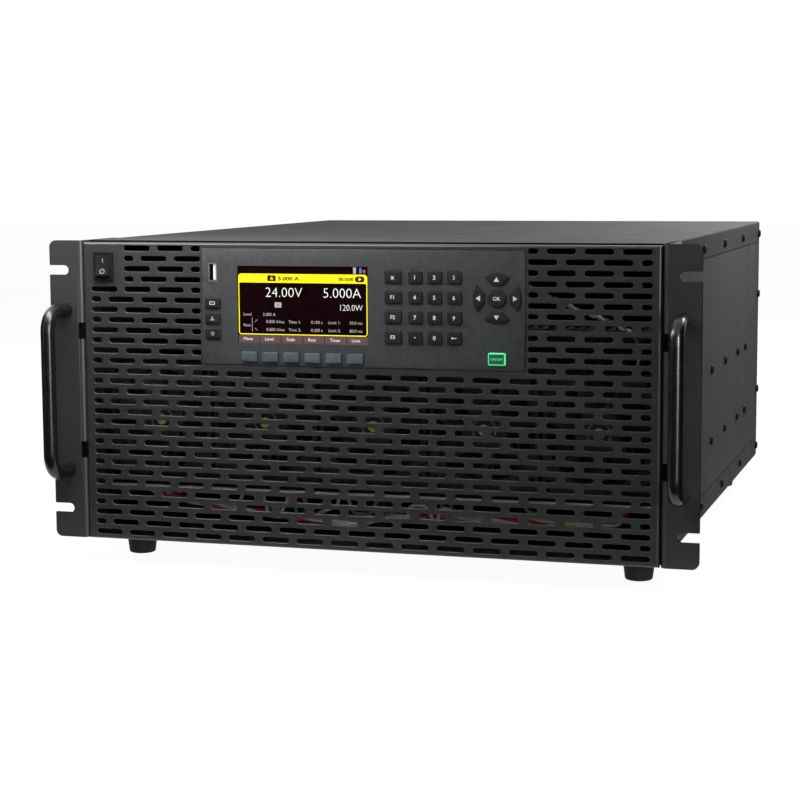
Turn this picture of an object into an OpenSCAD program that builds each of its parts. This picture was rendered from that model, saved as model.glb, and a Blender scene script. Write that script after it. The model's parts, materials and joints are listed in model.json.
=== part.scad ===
// Rack-mount DC electronic load, in millimetres, standing on its rubber feet.
// X runs along the front panel, Y runs from the front to the rear and Z is up.

/* [Case] */
// Width over both rack ears
ear_span = 482.6; // [477:0.2:488]
// Height of the front panel, the ears and the case
panel_h = 221.5; // [219:0.5:226]
// Width of one ear, from the case's side to its edge
ear_w = 27.05; // [26:0.05:28]
// Depth from the front face to the rear face
case_d = 550; // [530:5:600]
// Thickness of the case's sheet metal
sheet_t = 1.5; // [1.2:0.1:1.8]
// Outside radius of the sheet metal folds
fold_r = 2; // [1.9:0.1:2.6]
// Height of the lips of the top cover and the bottom pan
lip_h = 18.5; // [17:0.5:21]
// Depth of the front panel's folded edges
edge_d = 4; // [3.5:0.1:6]
// Width of the groove between the front panel and the covers
groove_w = 5.5; // [3:0.5:8]
// How far the front panel's top edge lies below the top cover
top_step = 1.2; // [0.8:0.1:1.5]
// Depth that the front panel's inner edge reaches behind its face
tuck_d = 20; // [18:0.5:23]
// Depth of the rear panel's folded edges
rear_edge_d = 15; // [13:0.5:18]
// Gap between sheets and pieces that lie against each other
seam = 0.3; // [0.2:0.05:0.4]

/* [Front grille] */
// Length of one slot
slot_l = 20.4; // [18:0.1:22]
// Height of one slot
slot_h = 3.9; // [3.2:0.1:4.4]
// Distance between slots in a row
slot_pitch = 26.325; // [25.5:0.025:27]
// Distance between rows
row_pitch = 7.52; // [7.2:0.02:8]
// Least distance from the panel's side edge to a slot
grille_side = 6.2; // [5.5:0.1:7]
// Least distance from the panel's top or bottom edge to a slot
grille_top = 3.3; // [3:0.1:4]

/* [Rack ears] */
// Thickness of the ear brackets
ear_t = 3; // [2.5:0.1:3.5]
// Outside radius of the bracket's fold
ear_fold_r = 4.5; // [4:0.1:5.5]
// Radius of the ear's outer corners
ear_corner_r = 5; // [3:0.5:8]
// Depth of the bracket's side flange
ear_flange_d = 60; // [50:1:75]
// Vertical distance between the two rack slots
rack_slot_span = 177.8; // [165:0.1:190]
// Height of a rack slot
rack_slot_h = 7.1; // [6.4:0.1:8]
// Depth of a rack slot from the ear's edge
rack_slot_d = 15.3; // [13:0.1:16]

/* [Handles] */
// Diameter of the handle bar
handle_d = 10.4; // [9:0.1:12]
// Distance between the two legs of a handle
handle_span = 119.5; // [100:0.5:130]
// Distance from the ear to the middle of the grip
handle_reach = 36; // [32:0.5:45]
// Radius of the handle's bends, at the middle of the bar
handle_bend_r = 14.5; // [12:0.5:18]
// Distance from the case's side to the middle of a leg
handle_out = 15.4; // [14:0.1:17]
// Diameter of the handle screws
handle_screw_d = 5; // [4:0.5:6]
// Depth of a handle screw in its leg
handle_screw_depth = 12; // [8:0.5:16]

/* [Feet] */
// Height of a foot
foot_h = 18; // [14:0.5:22]
// Diameter of a foot where it meets the case
foot_top_d = 24; // [22:0.5:28]
// Diameter of a foot where it meets the table
foot_base_d = 20; // [16:0.5:22]
// Distance from the case's side to the middle of a foot
foot_in = 22.25; // [18:0.25:44]
// Distance from the front face to the front feet
foot_front = 46; // [40:1:80]
// Distance from the rear face to the rear feet
foot_rear = 74; // [40:1:110]
// Thickness of rubber that a foot screw clamps
foot_web = 5; // [4:0.5:7]

/* [Control panel] */
// Width of the control panel
plate_w = 239; // [238:0.5:240]
// Height of the control panel
plate_h = 83.5; // [83:0.5:85]
// Distance from the panel's top edge to the control panel
plate_drop = 5.1; // [4.6:0.1:5.6]
// How far the control panel stands proud of the front panel
plate_proud = 0.5; // [0.3:0.1:0.8]
// Thickness of the control panel's rim behind the sheet
rim_t = 1.3; // [1:0.1:2]
// How far the rim reaches past the opening
rim_reach = 1.2; // [0.8:0.1:1.4]
// Width of the display window
window_w = 98.4; // [95:0.2:100]
// Height of the display window
window_h = 55.6; // [53:0.2:56]
// Height of the USB shell
usb_h = 13.1; // [12.5:0.1:13.5]
// Width of the USB shell
usb_w = 6; // [5.6:0.1:6.4]
// Wall of the USB shell
usb_wall = 0.4; // [0.3:0.05:0.6]
// Thickness of the display module
display_t = 6; // [4:0.5:7]
// Distance from the control panel to the keypad board
board_back = 10; // [9:0.5:12]
// Thickness of the circuit boards
board_t = 1.6; // [1:0.1:2.4]

/* [Keys] */
// Width of the menu keys under and beside the display
menu_key_w = 11.8; // [10.5:0.1:12]
// Height of the menu keys
menu_key_h = 7.1; // [6:0.1:7.4]
// Distance between the keys under the display
soft_pitch = 16.03; // [15:0.01:16.5]
// Distance between the keys beside the display
side_pitch = 11.05; // [10.5:0.05:11.5]
// Width of the number keys
pad_key_w = 10.2; // [9:0.1:11]
// Width of the escape and shortcut keys
column_key_w = 12.2; // [11:0.1:13]
// Height of the number, shortcut and load keys
pad_key_h = 8.4; // [7.5:0.1:9.2]
// Distance between number keys in a row
pad_pitch_x = 14.17; // [13.5:0.01:14.6]
// Distance between rows of number keys
pad_pitch_z = 14.08; // [12.5:0.01:14.6]
// Diameter of the round middle key
enter_d = 12.5; // [11:0.1:13]
// Radius of the ring that the four arrow keys follow
arrow_r = 17; // [16.4:0.1:17.6]
// Distance from the ring's middle to an arrow key
arrow_in = 9.2; // [8.8:0.1:10]
// Corner radius of the keys
key_corner_r = 1; // [0.5:0.1:1.5]
// How far a key stands proud of the control panel
key_proud = 1.4; // [1.2:0.1:2]
// Travel of a key
key_travel = 1; // [0.5:0.1:1.2]
// Gap round a key in its hole
key_gap = 0.3; // [0.2:0.05:0.4]
// Thickness of the flange that holds a key behind the panel
key_flange_t = 1; // [0.8:0.1:1.4]
// How far a key's flange reaches past the key
key_flange = 0.9; // [0.7:0.05:1]
// Length of a key's stem behind its flange
key_stem = 1.3; // [1:0.1:1.6]

/* [Power switch] */
// Width of the switch bezel
switch_w = 15.2; // [14.6:0.1:16]
// Height of the switch bezel
switch_h = 21; // [20:0.1:22]
// How far the bezel stands proud of the panel
switch_proud = 1.6; // [1:0.1:2]
// Width of the rocker
rocker_w = 10.4; // [9.4:0.1:10.8]
// Radius from the rocker's pivot to its ends
rocker_r = 8.2; // [7.6:0.1:8.4]
// Tilt of the rocker to each side, in degrees
rocker_tilt = 7; // [5:0.5:8]
// Diameter of the rocker's pivot pins
pivot_d = 2.4; // [2:0.1:3]
// Depth of the switch body behind the panel
switch_d = 14; // [13:0.5:22]

/* [Cooling] */
// Distance from the case's side to the first fan
fan_side = 8.25; // [7:0.25:12]
// Gap between two fans
fan_space = 3; // [2:0.1:4]
// Depth of a fan frame
fan_t = 25; // [22:0.5:30]
// Height of the fan axes above the case's underside
fan_z = 87.3; // [82:0.1:92]
// Distance from the front face to the fans
fan_y = 27; // [24:0.5:32]
// Gap between the blade tips and the frame
tip_gap = 1; // [0.6:0.1:1.5]
// Wall of a fan frame at its narrowest
fan_wall = 2; // [1.5:0.1:2.5]
// Diameter of a rotor's hub
hub_d = 34; // [28:0.5:38]
// Diameter of a rotor's shaft
shaft_d = 4; // [3:0.1:5]
// Length of the heat sinks
sink_l = 420; // [300:5:440]
// Thickness of a heat sink's base
sink_base = 8; // [6:0.5:12]
// Thickness of a heat sink's fins
fin_t = 2; // [1.5:0.1:2.5]
// Height of the power board above the case's underside
board_z = 36; // [32:0.5:38]

/* [Rear side] */
// Distance that the load terminals reach behind the case
terminal_reach = 34; // [30:1:45]
// Width of a terminal bar
terminal_w = 25; // [20:1:28]
// Thickness of a terminal bar
terminal_t = 5; // [4:0.5:8]
// Diameter of the hole in a terminal bar
terminal_hole_d = 8.5; // [6.5:0.1:10.5]
// Distance between the two terminal bars
terminal_pitch = 56; // [50:1:60]
// Width of the mains inlet's flange
inlet_w = 31; // [30:0.5:34]
// Height of the mains inlet's flange
inlet_h = 25; // [24:0.5:28]
// Depth of the mains inlet's cavity
inlet_depth = 15; // [12:0.5:18]

/* [Screws] */
// Diameter of the case screws
screw_d = 4; // [3:0.1:4.4]
// Diameter of a case screw's head
screw_head_d = 7; // [6:0.1:8]
// Height of a case screw's head
screw_head_h = 2.2; // [1.6:0.1:2.6]
// Length of a case screw under its head
screw_l = 7; // [6:0.5:9]
// Distance between the screws along the case's lips
screw_pitch = 117.6; // [110:0.1:122]
// Distance from the rear face to the last screws
screw_rear = 7; // [6:0.5:9]

/* [Hidden] */

// Key names in the order of their places
SIDE_KEYS = ["display_key", "save_key", "utility_key"];
COLUMN_KEYS = ["escape_key", "shortcut_key_1", "shortcut_key_2", "shortcut_key_3"];
PAD_KEYS = [
    "number_key_1", "number_key_2", "number_key_3", "number_key_4", "number_key_5", "number_key_6",
    "number_key_7", "number_key_8", "number_key_9", "point_key", "number_key_0", "backspace_key"
];
ARROW_KEYS = ["right_key", "up_key", "left_key", "down_key"];

// Colours
PANEL_GREY = [0.27, 0.27, 0.28];
COVER_GREY = [0.37, 0.37, 0.36];
PLATE_GREY = [0.24, 0.24, 0.25];
KEY_BLACK = [0.08, 0.08, 0.09];
SOFT_KEY_GREY = [0.31, 0.34, 0.36];
LIT_GREEN = [0.2, 0.8, 0.45];
BOARD_TAN = [0.72, 0.65, 0.48];
BOARD_GREEN = [0.1, 0.32, 0.18];

// Smoothness of round shapes
$fn = 48;
// Overlap that makes a cut pass through a face
cut = 1;

// Place of the front face: the object's box is centred on the origin, its feet stand at height zero
front_reach = handle_reach + handle_d / 2;
front_y = front_reach - (front_reach + case_d + terminal_reach) / 2;

// Sheet metal sizes
case_w = ear_span - 2 * ear_w;
panel_w = case_w - 2 * seam;
side_x = case_w / 2;
cover_y = edge_d + groove_w;
joggle_h = 2;
strip_x = side_x - 2 * sheet_t - seam;
strip_margin = 4;
inner_w = 2 * (strip_x - seam);
inner_h = panel_h - 2 * (sheet_t + seam);

// Grille limits
grille_x = panel_w / 2 - grille_side;
row_count = floor((panel_h - 2 * grille_top - slot_h) / row_pitch) + 1;
row_top_z = panel_h / 2 + (row_count - 1) * row_pitch / 2;
slot_reach = ceil(grille_x / slot_pitch) + 1;
slot_least = 1.5 * slot_h;

// Control panel places: its groups of keys keep to its edges, and the display takes the room between them
plate_z = panel_h - plate_drop - plate_h / 2;
plate_base_z = plate_z - plate_h / 2;
side_key_in = 7.9;
usb_in = 8.1;
ring_in = 19.8;
soft_key_up = 6.05;
load_key_up = 8.25;
window_gap_left = 13.3;
window_gap_right = 12.55;
column_gap = 5;
ring_gap = 8.41;
window_gap_top = 12.15;
window_gap_base = 6.15;
pad_w = 2 * pad_pitch_x + pad_key_w;
left_w = side_key_in + menu_key_w / 2 + window_gap_left + window_w;
right_w = window_gap_right + column_key_w + column_gap + pad_w + ring_gap + arrow_r + ring_in;
spare_w = plate_w - left_w - right_w;
spare_h = plate_h - soft_key_up - menu_key_h / 2 - window_gap_base - window_h - window_gap_top;
window_share = 0.42;
base_share = 0.35;
plate_gap = 0.2;
plate_back = sheet_t + plate_gap + rim_t;
grille_gap = 1.9;
beside_plate = plate_w / 2 + grille_gap;
side_key_x = -plate_w / 2 + side_key_in;
window_x = side_key_x + (menu_key_w + window_w) / 2 + window_gap_left + window_share * spare_w;
window_z = plate_base_z + soft_key_up + (menu_key_h + window_h) / 2 + window_gap_base + base_share * spare_h;
glass_inset = 0.7;
glass_gap = 0.2;
display_rim = 1.5;
usb_x = -plate_w / 2 + usb_in;
usb_z = plate_z + 24.7;
usb_gap = 0.3;
usb_floor = 2;
tongue_in = 1;
tongue_off = 1;
tongue_t = 1.8;
tongue_side = 0.6;
side_key_z = plate_z + 2.5;
soft_shift = 0.375;
soft_key_x = window_x - soft_shift - 2.5 * soft_pitch;
soft_key_z = plate_base_z + soft_key_up;
column_x = window_x + (window_w + column_key_w) / 2 + window_gap_right + window_share * spare_w;
pad_x = column_x + (column_key_w + pad_key_w) / 2 + column_gap;
pad_z = plate_z + 22.8;
ring_x = plate_w / 2 - ring_in;
ring_z = plate_z + 8.65;
load_key_z = plate_base_z + load_key_up;
load_key_w = 12.2;
arrow_cut = 5.8;

// Depths of the keys and the board behind them
board_y = plate_back + board_back;
key_front = -plate_proud - key_proud;
flange_front = plate_back + seam;
flange_back = flange_front + key_flange_t;
stem_end = flange_back + key_stem;
stem_d = 3;
tact_gap = 0.2;
tact_front = stem_end + key_travel + tact_gap;
tact_body = 6;
tact_step = 2;
board_in = 2;
boss_d = 5;
boss_in_x = 4.6;
boss_in_z = 4.4;
boss_by_window = 8.6;
boss_mid_x = window_x + window_w / 2 + boss_by_window;

// Power switch places
switch_in = 16.75;
switch_drop = 18.75;
switch_x = -side_x + switch_in;
switch_z = panel_h - switch_drop;
switch_gap = 0.2;
switch_wall = 1;
switch_corner_r = 1;
body_w = rocker_w + 2 * switch_gap + 2 * switch_wall;
body_h = 2 * (rocker_r + switch_gap + switch_wall);
pivot_y = 1;
pivot_gap = 0.1;
rocker_dip = 2.4;
rocker_rise = 4.6;
rocker_back = 4;
switch_floor = 2;
switch_margin = 2;
switch_side = 8.6;
switch_clear_x = switch_x + switch_w / 2 + switch_side;

// Fan and heat sink places
fan_count = 5;
FANS = [1:fan_count];
fan_size = (case_w - 2 * fan_side - (fan_count - 1) * fan_space) / fan_count;
fan_pitch = fan_size + fan_space;
fan_bore_r = fan_size / 2 - fan_wall;
blade_count = 7;
blade_angle = 50;
blade_t = 1.8;
blade_l = 40;
blade_in = 2;
hub_front = fan_y + 1.5;
motor_t = 4;
hub_gap = 0.6;
hub_back = fan_y + fan_t - motor_t - hub_gap;
strut_w = 4;
fan_corner_r = 4;
fan_hole_d = 4.3;
fan_hole_in = 4.25;
bush_d = 9;
bush_proud = 0.8;
sink_y = fan_y + fan_t;
sink_w = fan_size;
sink_floor_z = board_z + board_t;
sink_top_z = fan_z + fan_size / 2;
fin_count = 9;
power_board_w = case_w - 2 * fan_side;
power_board_y = fan_y + 1;
power_board_d = sink_y + sink_l - power_board_y;

// Standoffs under the power board, and the wires that run along them
post_d = 8;
post_in = 56;
post_x = power_board_w / 2 - post_in;
post_rows = [power_board_y + 18, power_board_y + 150, power_board_y + 290];
wire_d = 3.4;
wire_y = post_rows[0] - post_d / 2 - seam - wire_d / 2;
wire_bend_r = 7;
wire_step_z = 4.6;
wire_first_z = 8;
WIRE_INSETS = [[22, 28], [32, 42], [44, 54], [94, 68]];

// Rear side places
rear_face = case_d;
rear_inside = case_d - sheet_t;
inlet_in = 54.25;
inlet_x = -side_x + inlet_in;
rear_row_z = plate_z;
port_board_x = -30;
port_board_w = 170;
port_board_h = 46;
port_depth = 14;
port_board_y = rear_inside - port_depth;
port_proud = 1;
port_gap = 0.3;
port_post_d = 6;
port_post_in = 5;
terminal_in = 79.25;
terminal_x = side_x - terminal_in;
terminal_block_w = 112;
terminal_block_h = 40;
terminal_block_t = 10;
terminal_corner_r = 3;
terminal_inside = 24;
terminal_hole_in = 13;
terminal_fit = 0.15;
terminal_clear = 6;
terminal_gap_w = terminal_pitch + terminal_w + 2 * terminal_clear;
inlet_wall = 1.6;
inlet_body_w = inlet_w - 2 * inlet_wall;
inlet_body_h = inlet_h - 2 * inlet_wall;
inlet_chamfer = 4;
inlet_corner_r = 2;
inlet_floor = 2;
inlet_pin = [2, 4];
inlet_flange_t = 2.5;
inlet_pins = [[-7, -0.5], [7, -0.5], [0, 3.5]];

// Connectors on the interface board: sideways place, width and height of each shell
NETWORK_PORT = [-62, 16, 13.4];
USB_B_PORT = [-30, 12, 11];
SERIAL_PORT = [8, 31, 12.5];
STRIP_PORT = [58, 40, 10];
PORTS = [NETWORK_PORT, USB_B_PORT, SERIAL_PORT, STRIP_PORT];
port_face = rear_face + port_proud;
port_floor_t = 3;
port_floor = port_board_y + port_floor_t;
network_mouth = [11.8, 8.6];
usb_b_mouth = [8.6, 7.9];
usb_b_tongue = [5.6, 3.2];
tongue_back = 1.5;
serial_mouth_w = 17;
serial_mouth_h = 8.4;
serial_slant = 1.4;
serial_pin_d = 1;
serial_pin_pitch = 2.76;
serial_pin_row = 1.42;
strip_ways = 8;
strip_pitch = 4.6;
strip_hole_d = 2.6;

// Screw places
lip_screw_in = 11;
lip_screw_y = [for (k = [0:4]) case_d - screw_rear - k * screw_pitch];
side_screw_y = [240.6, 319.8, 399.5, 450.5];
side_screw_z = [56, 113];
rear_screw_z = [65, 154.5];
pin_hole_d = 2.6;
pin_hole_y = 399;
pin_hole_z = 84.7;
ear_screw_y = 42;
ear_screw_pitch = 70;
ear_screw_z = [for (k = [-1:1]) panel_h / 2 + ear_screw_pitch * k];
screw_gap = 0.25;
drill_over = 1;
csk_d = 9.6;
csk_h = 2.3;
handle_x = side_x + handle_out;
foot_x = side_x - foot_in;
FEET = [for (x = [-foot_x, foot_x], y = [foot_front, case_d - foot_rear]) [x, y]];
foot_screw_head_d = 9;
foot_chamfer = 1.5;
foot_screw_head_h = 3;
foot_head_gap = 0.5;
foot_screw_over = 4;

// Puts a piece that is drawn from the front face and the case's underside in its place
module placed() {
    translate([0, front_y, foot_h]) children();
}

// Extrudes a shape drawn in X and Z from one depth to another
module through(y_from, y_to) {
    translate([0, y_to, 0]) rotate([90, 0, 0]) linear_extrude(y_to - y_from) children();
}

// Rectangle with round corners, centred
module rounded(w, h, r) {
    square([w - 2 * r, h], center = true);
    square([w, h - 2 * r], center = true);
    for (sx = [-1, 1], sz = [-1, 1]) translate([sx * (w / 2 - r), sz * (h / 2 - r)]) circle(r);
}

// Section of a sheet with both ends folded back, filled: the folds are at the front corners
module folded(w, d, r) {
    translate([-w / 2 + r, 0]) square([w - 2 * r, d]);
    translate([-w / 2, r]) square([w, d - r]);
    for (side = [-1, 1]) translate([side * (w / 2 - r), r]) circle(r);
}

// Block with the four front edges round
module folded_block(w, h, d, r) {
    intersection() {
        linear_extrude(h, center = true) folded(w, d, r);
        rotate([0, -90, 0]) linear_extrude(w, center = true) folded(h, d, r);
    }
}

// Sheet metal tray with its face at the front and its four edges folded back
module tray(w, h, d) {
    translate([0, 0, panel_h / 2]) difference() {
        folded_block(w, h, d, fold_r);
        translate([0, sheet_t, 0]) folded_block(w - 2 * sheet_t, h - 2 * sheet_t, d, fold_r - sheet_t);
    }
}

// One lying slot with round ends
module slot(from, to) {
    translate([from + slot_h / 2, -slot_h / 2]) square([to - from - slot_h, slot_h]);
    for (x = [from + slot_h / 2, to - slot_h / 2]) translate([x, 0]) circle(d = slot_h, $fn = 24);
}

// One row of slots between two limits: a slot that crosses a limit is cut short
module slot_row(row, from, to) {
    shift = row % 2 == 0 ? 0.5 : 0;
    for (i = [-slot_reach:slot_reach]) {
        middle = (i + shift) * slot_pitch;
        start = max(from, middle - slot_l / 2);
        end = min(to, middle + slot_l / 2);
        if (end - start > slot_least) slot(start, end);
    }
}

// The front grille: rows beside the control panel and the switch are shorter
module front_slots() {
    for (row = [0:row_count - 1]) {
        z = row_top_z - row * row_pitch;
        beside = z + slot_h / 2 > plate_base_z - rim_reach;
        by_switch = z + slot_h / 2 > switch_z - switch_h / 2 - switch_margin;
        translate([0, z]) {
            if (beside) {
                slot_row(row, by_switch ? switch_clear_x : -grille_x, -beside_plate);
                slot_row(row, beside_plate, grille_x);
            } else {
                slot_row(row, -grille_x, grille_x);
            }
        }
    }
}

// Inner edge of the front panel: stepped in from its folded edges to pass behind the covers
module tucked_edge() {
    translate([0, 0, panel_h / 2]) difference() {
        union() {
            through(edge_d - sheet_t, edge_d) translate([0, -top_step / 2])
                square([panel_w - sheet_t, panel_h - top_step - sheet_t], center = true);
            through(edge_d - sheet_t, tuck_d) square([inner_w, inner_h], center = true);
        }
        through(-cut, tuck_d + cut) square([inner_w - 2 * sheet_t, inner_h - 2 * sheet_t], center = true);
    }
}

// Perforated sheet metal front with folded edges
module front_panel() {
    color(PANEL_GREY) placed() difference() {
        union() {
            translate([0, 0, -top_step / 2]) tray(panel_w, panel_h - top_step, edge_d);
            tucked_edge();
        }
        through(-cut, sheet_t + cut) front_slots();
        through(-cut, sheet_t + cut) translate([0, plate_z])
            square([plate_w + 2 * plate_gap, plate_h + 2 * plate_gap], center = true);
        through(-cut, sheet_t + cut) translate([switch_x, switch_z])
            square([body_w + 2 * switch_gap, body_h + 2 * switch_gap], center = true);
    }
}

// Outline of an arrow key that points right, grown by a margin
module arrow_shape(grow) {
    reach = arrow_r + grow;
    inner = arrow_in - grow;
    slant = arrow_cut - grow * sqrt(2);
    intersection() {
        circle(reach, $fn = 96);
        polygon([
            [inner, -(inner - slant)], [reach + slant, -reach], [2 * reach, -reach],
            [2 * reach, reach], [reach + slant, reach], [inner, inner - slant]
        ]);
    }
}

// Outline of one key, grown by a margin
module key_shape(w, h, grow) {
    rounded(w + 2 * grow, h + 2 * grow, key_corner_r + grow);
}

// Runs the child once for each straight-sided key, with its size in $key_w and $key_h
module at_keys() {
    $key_w = menu_key_w;
    $key_h = menu_key_h;
    for (i = [0:5]) translate(soft_place(i)) children();
    for (i = [0:2]) translate(side_place(i)) children();
    at_pad_keys() children();
}

// Runs the child once for each number, shortcut and load key
module at_pad_keys() {
    $key_h = pad_key_h;
    for (i = [0:3]) translate(column_place(i)) {
        $key_w = column_key_w;
        children();
    }
    for (i = [0:11]) translate(pad_place(i)) {
        $key_w = pad_key_w;
        children();
    }
    translate(load_place()) {
        $key_w = load_key_w;
        children();
    }
}

// Places of the keys on the panel
function soft_place(i) = [soft_key_x + i * soft_pitch, soft_key_z];
function side_place(i) = [side_key_x, side_key_z - i * side_pitch];
function column_place(i) = [column_x, pad_z - i * pad_pitch_z];
function pad_place(i) = [pad_x + (i % 3) * pad_pitch_x, pad_z - floor(i / 3) * pad_pitch_z];
function load_place() = [ring_x, load_key_z];

// Control panel with holes for the display, the USB port and the keys, held by a rim behind the sheet
module control_panel() {
    color(PLATE_GREY) placed() {
        difference() {
            union() {
                through(-plate_proud, plate_back) translate([0, plate_z])
                    square([plate_w, plate_h], center = true);
                through(plate_back - rim_t, plate_back) translate([0, plate_z])
                    square([plate_w + 2 * rim_reach, plate_h + 2 * rim_reach], center = true);
            }
            through(-plate_proud - cut, plate_back + cut) {
                translate([window_x, window_z]) square([window_w, window_h], center = true);
                translate([usb_x, usb_z]) square([usb_w + 2 * usb_gap, usb_h + 2 * usb_gap], center = true);
                at_keys() key_shape($key_w, $key_h, key_gap);
                translate([ring_x, ring_z]) {
                    circle(d = enter_d + 2 * key_gap);
                    for (i = [0:3]) rotate(90 * i) arrow_shape(key_gap);
                }
            }
        }
        boss_x = plate_w / 2 - boss_in_x;
        boss_z = plate_h / 2 - boss_in_z;
        through(plate_back, board_y) for (x = [-boss_x, boss_mid_x, boss_x], z = [-boss_z, boss_z])
            translate([x, plate_z + z]) circle(d = boss_d);
    }
}

// Display with its glass in the window and its metal frame behind the control panel
module display_module() {
    color([0.05, 0.04, 0.05]) placed() {
        through(-plate_proud + glass_inset, plate_back + glass_gap + cut) translate([window_x, window_z])
            square([window_w - 2 * glass_gap, window_h - 2 * glass_gap], center = true);
        through(plate_back + glass_gap, plate_back + glass_gap + display_t) translate([window_x, window_z])
            square([window_w + 2 * display_rim, window_h + 2 * display_rim], center = true);
    }
}

// One push switch on the keypad board
module tact_switch() {
    through(tact_front, board_y) circle(d = stem_d);
    through(tact_front + tact_step, board_y + board_t / 2) square(tact_body, center = true);
}

// USB socket: a metal shell with a tongue inside
module usb_socket() {
    difference() {
        through(-plate_proud, board_y) square([usb_w, usb_h], center = true);
        through(-plate_proud - cut, board_y - usb_floor)
            square([usb_w - 2 * usb_wall, usb_h - 2 * usb_wall], center = true);
    }
    through(-plate_proud + tongue_in, board_y) translate([tongue_off, 0])
        square([tongue_t, usb_h - 2 * usb_wall - 2 * tongue_side], center = true);
}

// Circuit board behind the control panel with a push switch for each key and the USB socket
module keypad_board() {
    color(BOARD_GREEN) placed() {
        through(board_y, board_y + board_t) translate([0, plate_z])
            square([plate_w - 2 * board_in, plate_h - 2 * board_in], center = true);
        at_keys_solid() tact_switch();
        translate([usb_x, 0, usb_z]) usb_socket();
    }
}

// Runs a solid child once for each key
module at_keys_solid() {
    for (i = [0:5]) at_place(soft_place(i)) children();
    for (i = [0:2]) at_place(side_place(i)) children();
    for (i = [0:3]) at_place(column_place(i)) children();
    for (i = [0:11]) at_place(pad_place(i)) children();
    for (i = [0:3]) at_place(arrow_place(i)) children();
    at_place([ring_x, ring_z]) children();
    at_place(load_place()) children();
}

// Middle of an arrow key
function arrow_place(i) = [
    ring_x + (arrow_in + arrow_r) / 2 * cos(90 * i),
    ring_z + (arrow_in + arrow_r) / 2 * sin(90 * i)
];

// Moves a solid child to a place on the panel
module at_place(place) {
    translate([place[0], 0, place[1]]) children();
}

// A key at its place: its cap, the flange that holds it behind the panel and its stem
module straight_key(place, w, h, shade) {
    color(shade) placed() at_place(place) {
        through(key_front, flange_front) key_shape(w, h, 0);
        through(flange_front, flange_back) key_shape(w, h, key_flange);
        through(flange_back, stem_end) circle(d = stem_d);
    }
}

// A key under the display
module soft_key(i) {
    straight_key(soft_place(i), menu_key_w, menu_key_h, SOFT_KEY_GREY);
}

// A key beside the display
module side_key(i) {
    straight_key(side_place(i), menu_key_w, menu_key_h, KEY_BLACK);
}

// The escape key and the shortcut keys
module column_key(i) {
    straight_key(column_place(i), column_key_w, pad_key_h, KEY_BLACK);
}

// A key of the number pad
module pad_key(i) {
    straight_key(pad_place(i), pad_key_w, pad_key_h, KEY_BLACK);
}

// The lit key that switches the load
module load_key() {
    straight_key(load_place(), load_key_w, pad_key_h, LIT_GREEN);
}

// One of the four arrow keys, the first points right
module arrow_key(i) {
    color(KEY_BLACK) placed() {
        at_place([ring_x, ring_z]) {
            through(key_front, flange_front) rotate(90 * i) arrow_shape(0);
            through(flange_front, flange_back) rotate(90 * i) arrow_shape(key_flange);
        }
        at_place(arrow_place(i)) through(flange_back, stem_end) circle(d = stem_d);
    }
}

// The round key in the middle of the arrows
module enter_key() {
    color(KEY_BLACK) placed() at_place([ring_x, ring_z]) {
        through(key_front, flange_front) circle(d = enter_d);
        through(flange_front, flange_back) circle(d = enter_d + 2 * key_flange);
        through(flange_back, stem_end) circle(d = stem_d);
    }
}

// Body of the power switch: a bezel on the panel and a hollow box behind it with holes for the pivot pins
module rocker_housing() {
    color(KEY_BLACK) placed() translate([switch_x, 0, switch_z]) difference() {
        union() {
            through(-switch_proud, 0) rounded(switch_w, switch_h, switch_corner_r);
            through(0, switch_d) square([body_w, body_h], center = true);
        }
        through(-switch_proud - cut, switch_d - switch_floor)
            square([rocker_w + 2 * switch_gap, 2 * (rocker_r + switch_gap)], center = true);
        translate([0, pivot_y, 0]) rotate([0, 90, 0])
            cylinder(d = pivot_d + 2 * pivot_gap, h = body_w + 2 * cut, center = true);
    }
}

// Side outline of the rocker, level, with its pivot at the origin: a shallow V in front and round ends
module rocker_profile() {
    intersection() {
        circle(rocker_r, $fn = 96);
        polygon([
            [-rocker_rise, -rocker_r], [-rocker_dip, 0], [-rocker_rise, rocker_r],
            [rocker_back, rocker_r], [rocker_back, -rocker_r]
        ]);
    }
}

// The rocker, tilted so that its upper half is pressed in, on two pivot pins
module power_rocker() {
    color(KEY_BLACK) placed() translate([switch_x, pivot_y, switch_z]) rotate([-rocker_tilt, 0, 0]) {
        rotate([90, 0, 90]) linear_extrude(rocker_w, center = true) rocker_profile();
        rotate([0, 90, 0]) cylinder(d = pivot_d, h = rocker_w + 2 * switch_gap + switch_wall, center = true);
    }
}

// Plan of a right ear bracket: the ear, the fold and the flange along the case's side
module ear_plan() {
    ear_out = ear_span / 2;
    ear_in = side_x + seam;
    inner_r = ear_fold_r - ear_t;
    translate([ear_in + ear_fold_r, 0]) square([ear_out - ear_in - ear_fold_r, ear_t]);
    translate([ear_in, ear_fold_r]) square([ear_t, ear_flange_d - ear_fold_r]);
    intersection() {
        translate([ear_in + ear_fold_r, ear_fold_r]) difference() {
            circle(ear_fold_r);
            circle(inner_r);
        }
        translate([ear_in, 0]) square(ear_fold_r);
    }
}

// Front outline of a right ear, with round outer corners
module ear_outline() {
    ear_out = ear_span / 2;
    square([ear_out - ear_corner_r, panel_h]);
    translate([0, ear_corner_r]) square([ear_out, panel_h - 2 * ear_corner_r]);
    for (z = [ear_corner_r, panel_h - ear_corner_r])
        translate([ear_out - ear_corner_r, z]) circle(ear_corner_r);
}

// The two open rack slots of a right ear
module rack_slots() {
    slot_end = ear_span / 2 - rack_slot_d + rack_slot_h / 2;
    for (side = [-1, 1]) translate([slot_end, panel_h / 2 + side * rack_slot_span / 2]) {
        circle(d = rack_slot_h);
        translate([0, -rack_slot_h / 2]) square([rack_slot_d, rack_slot_h]);
    }
}

// Runs the child at the two legs of a right handle
module at_legs() {
    for (side = [-1, 1]) translate([handle_x, 0, panel_h / 2 + side * handle_span / 2]) children();
}

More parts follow.
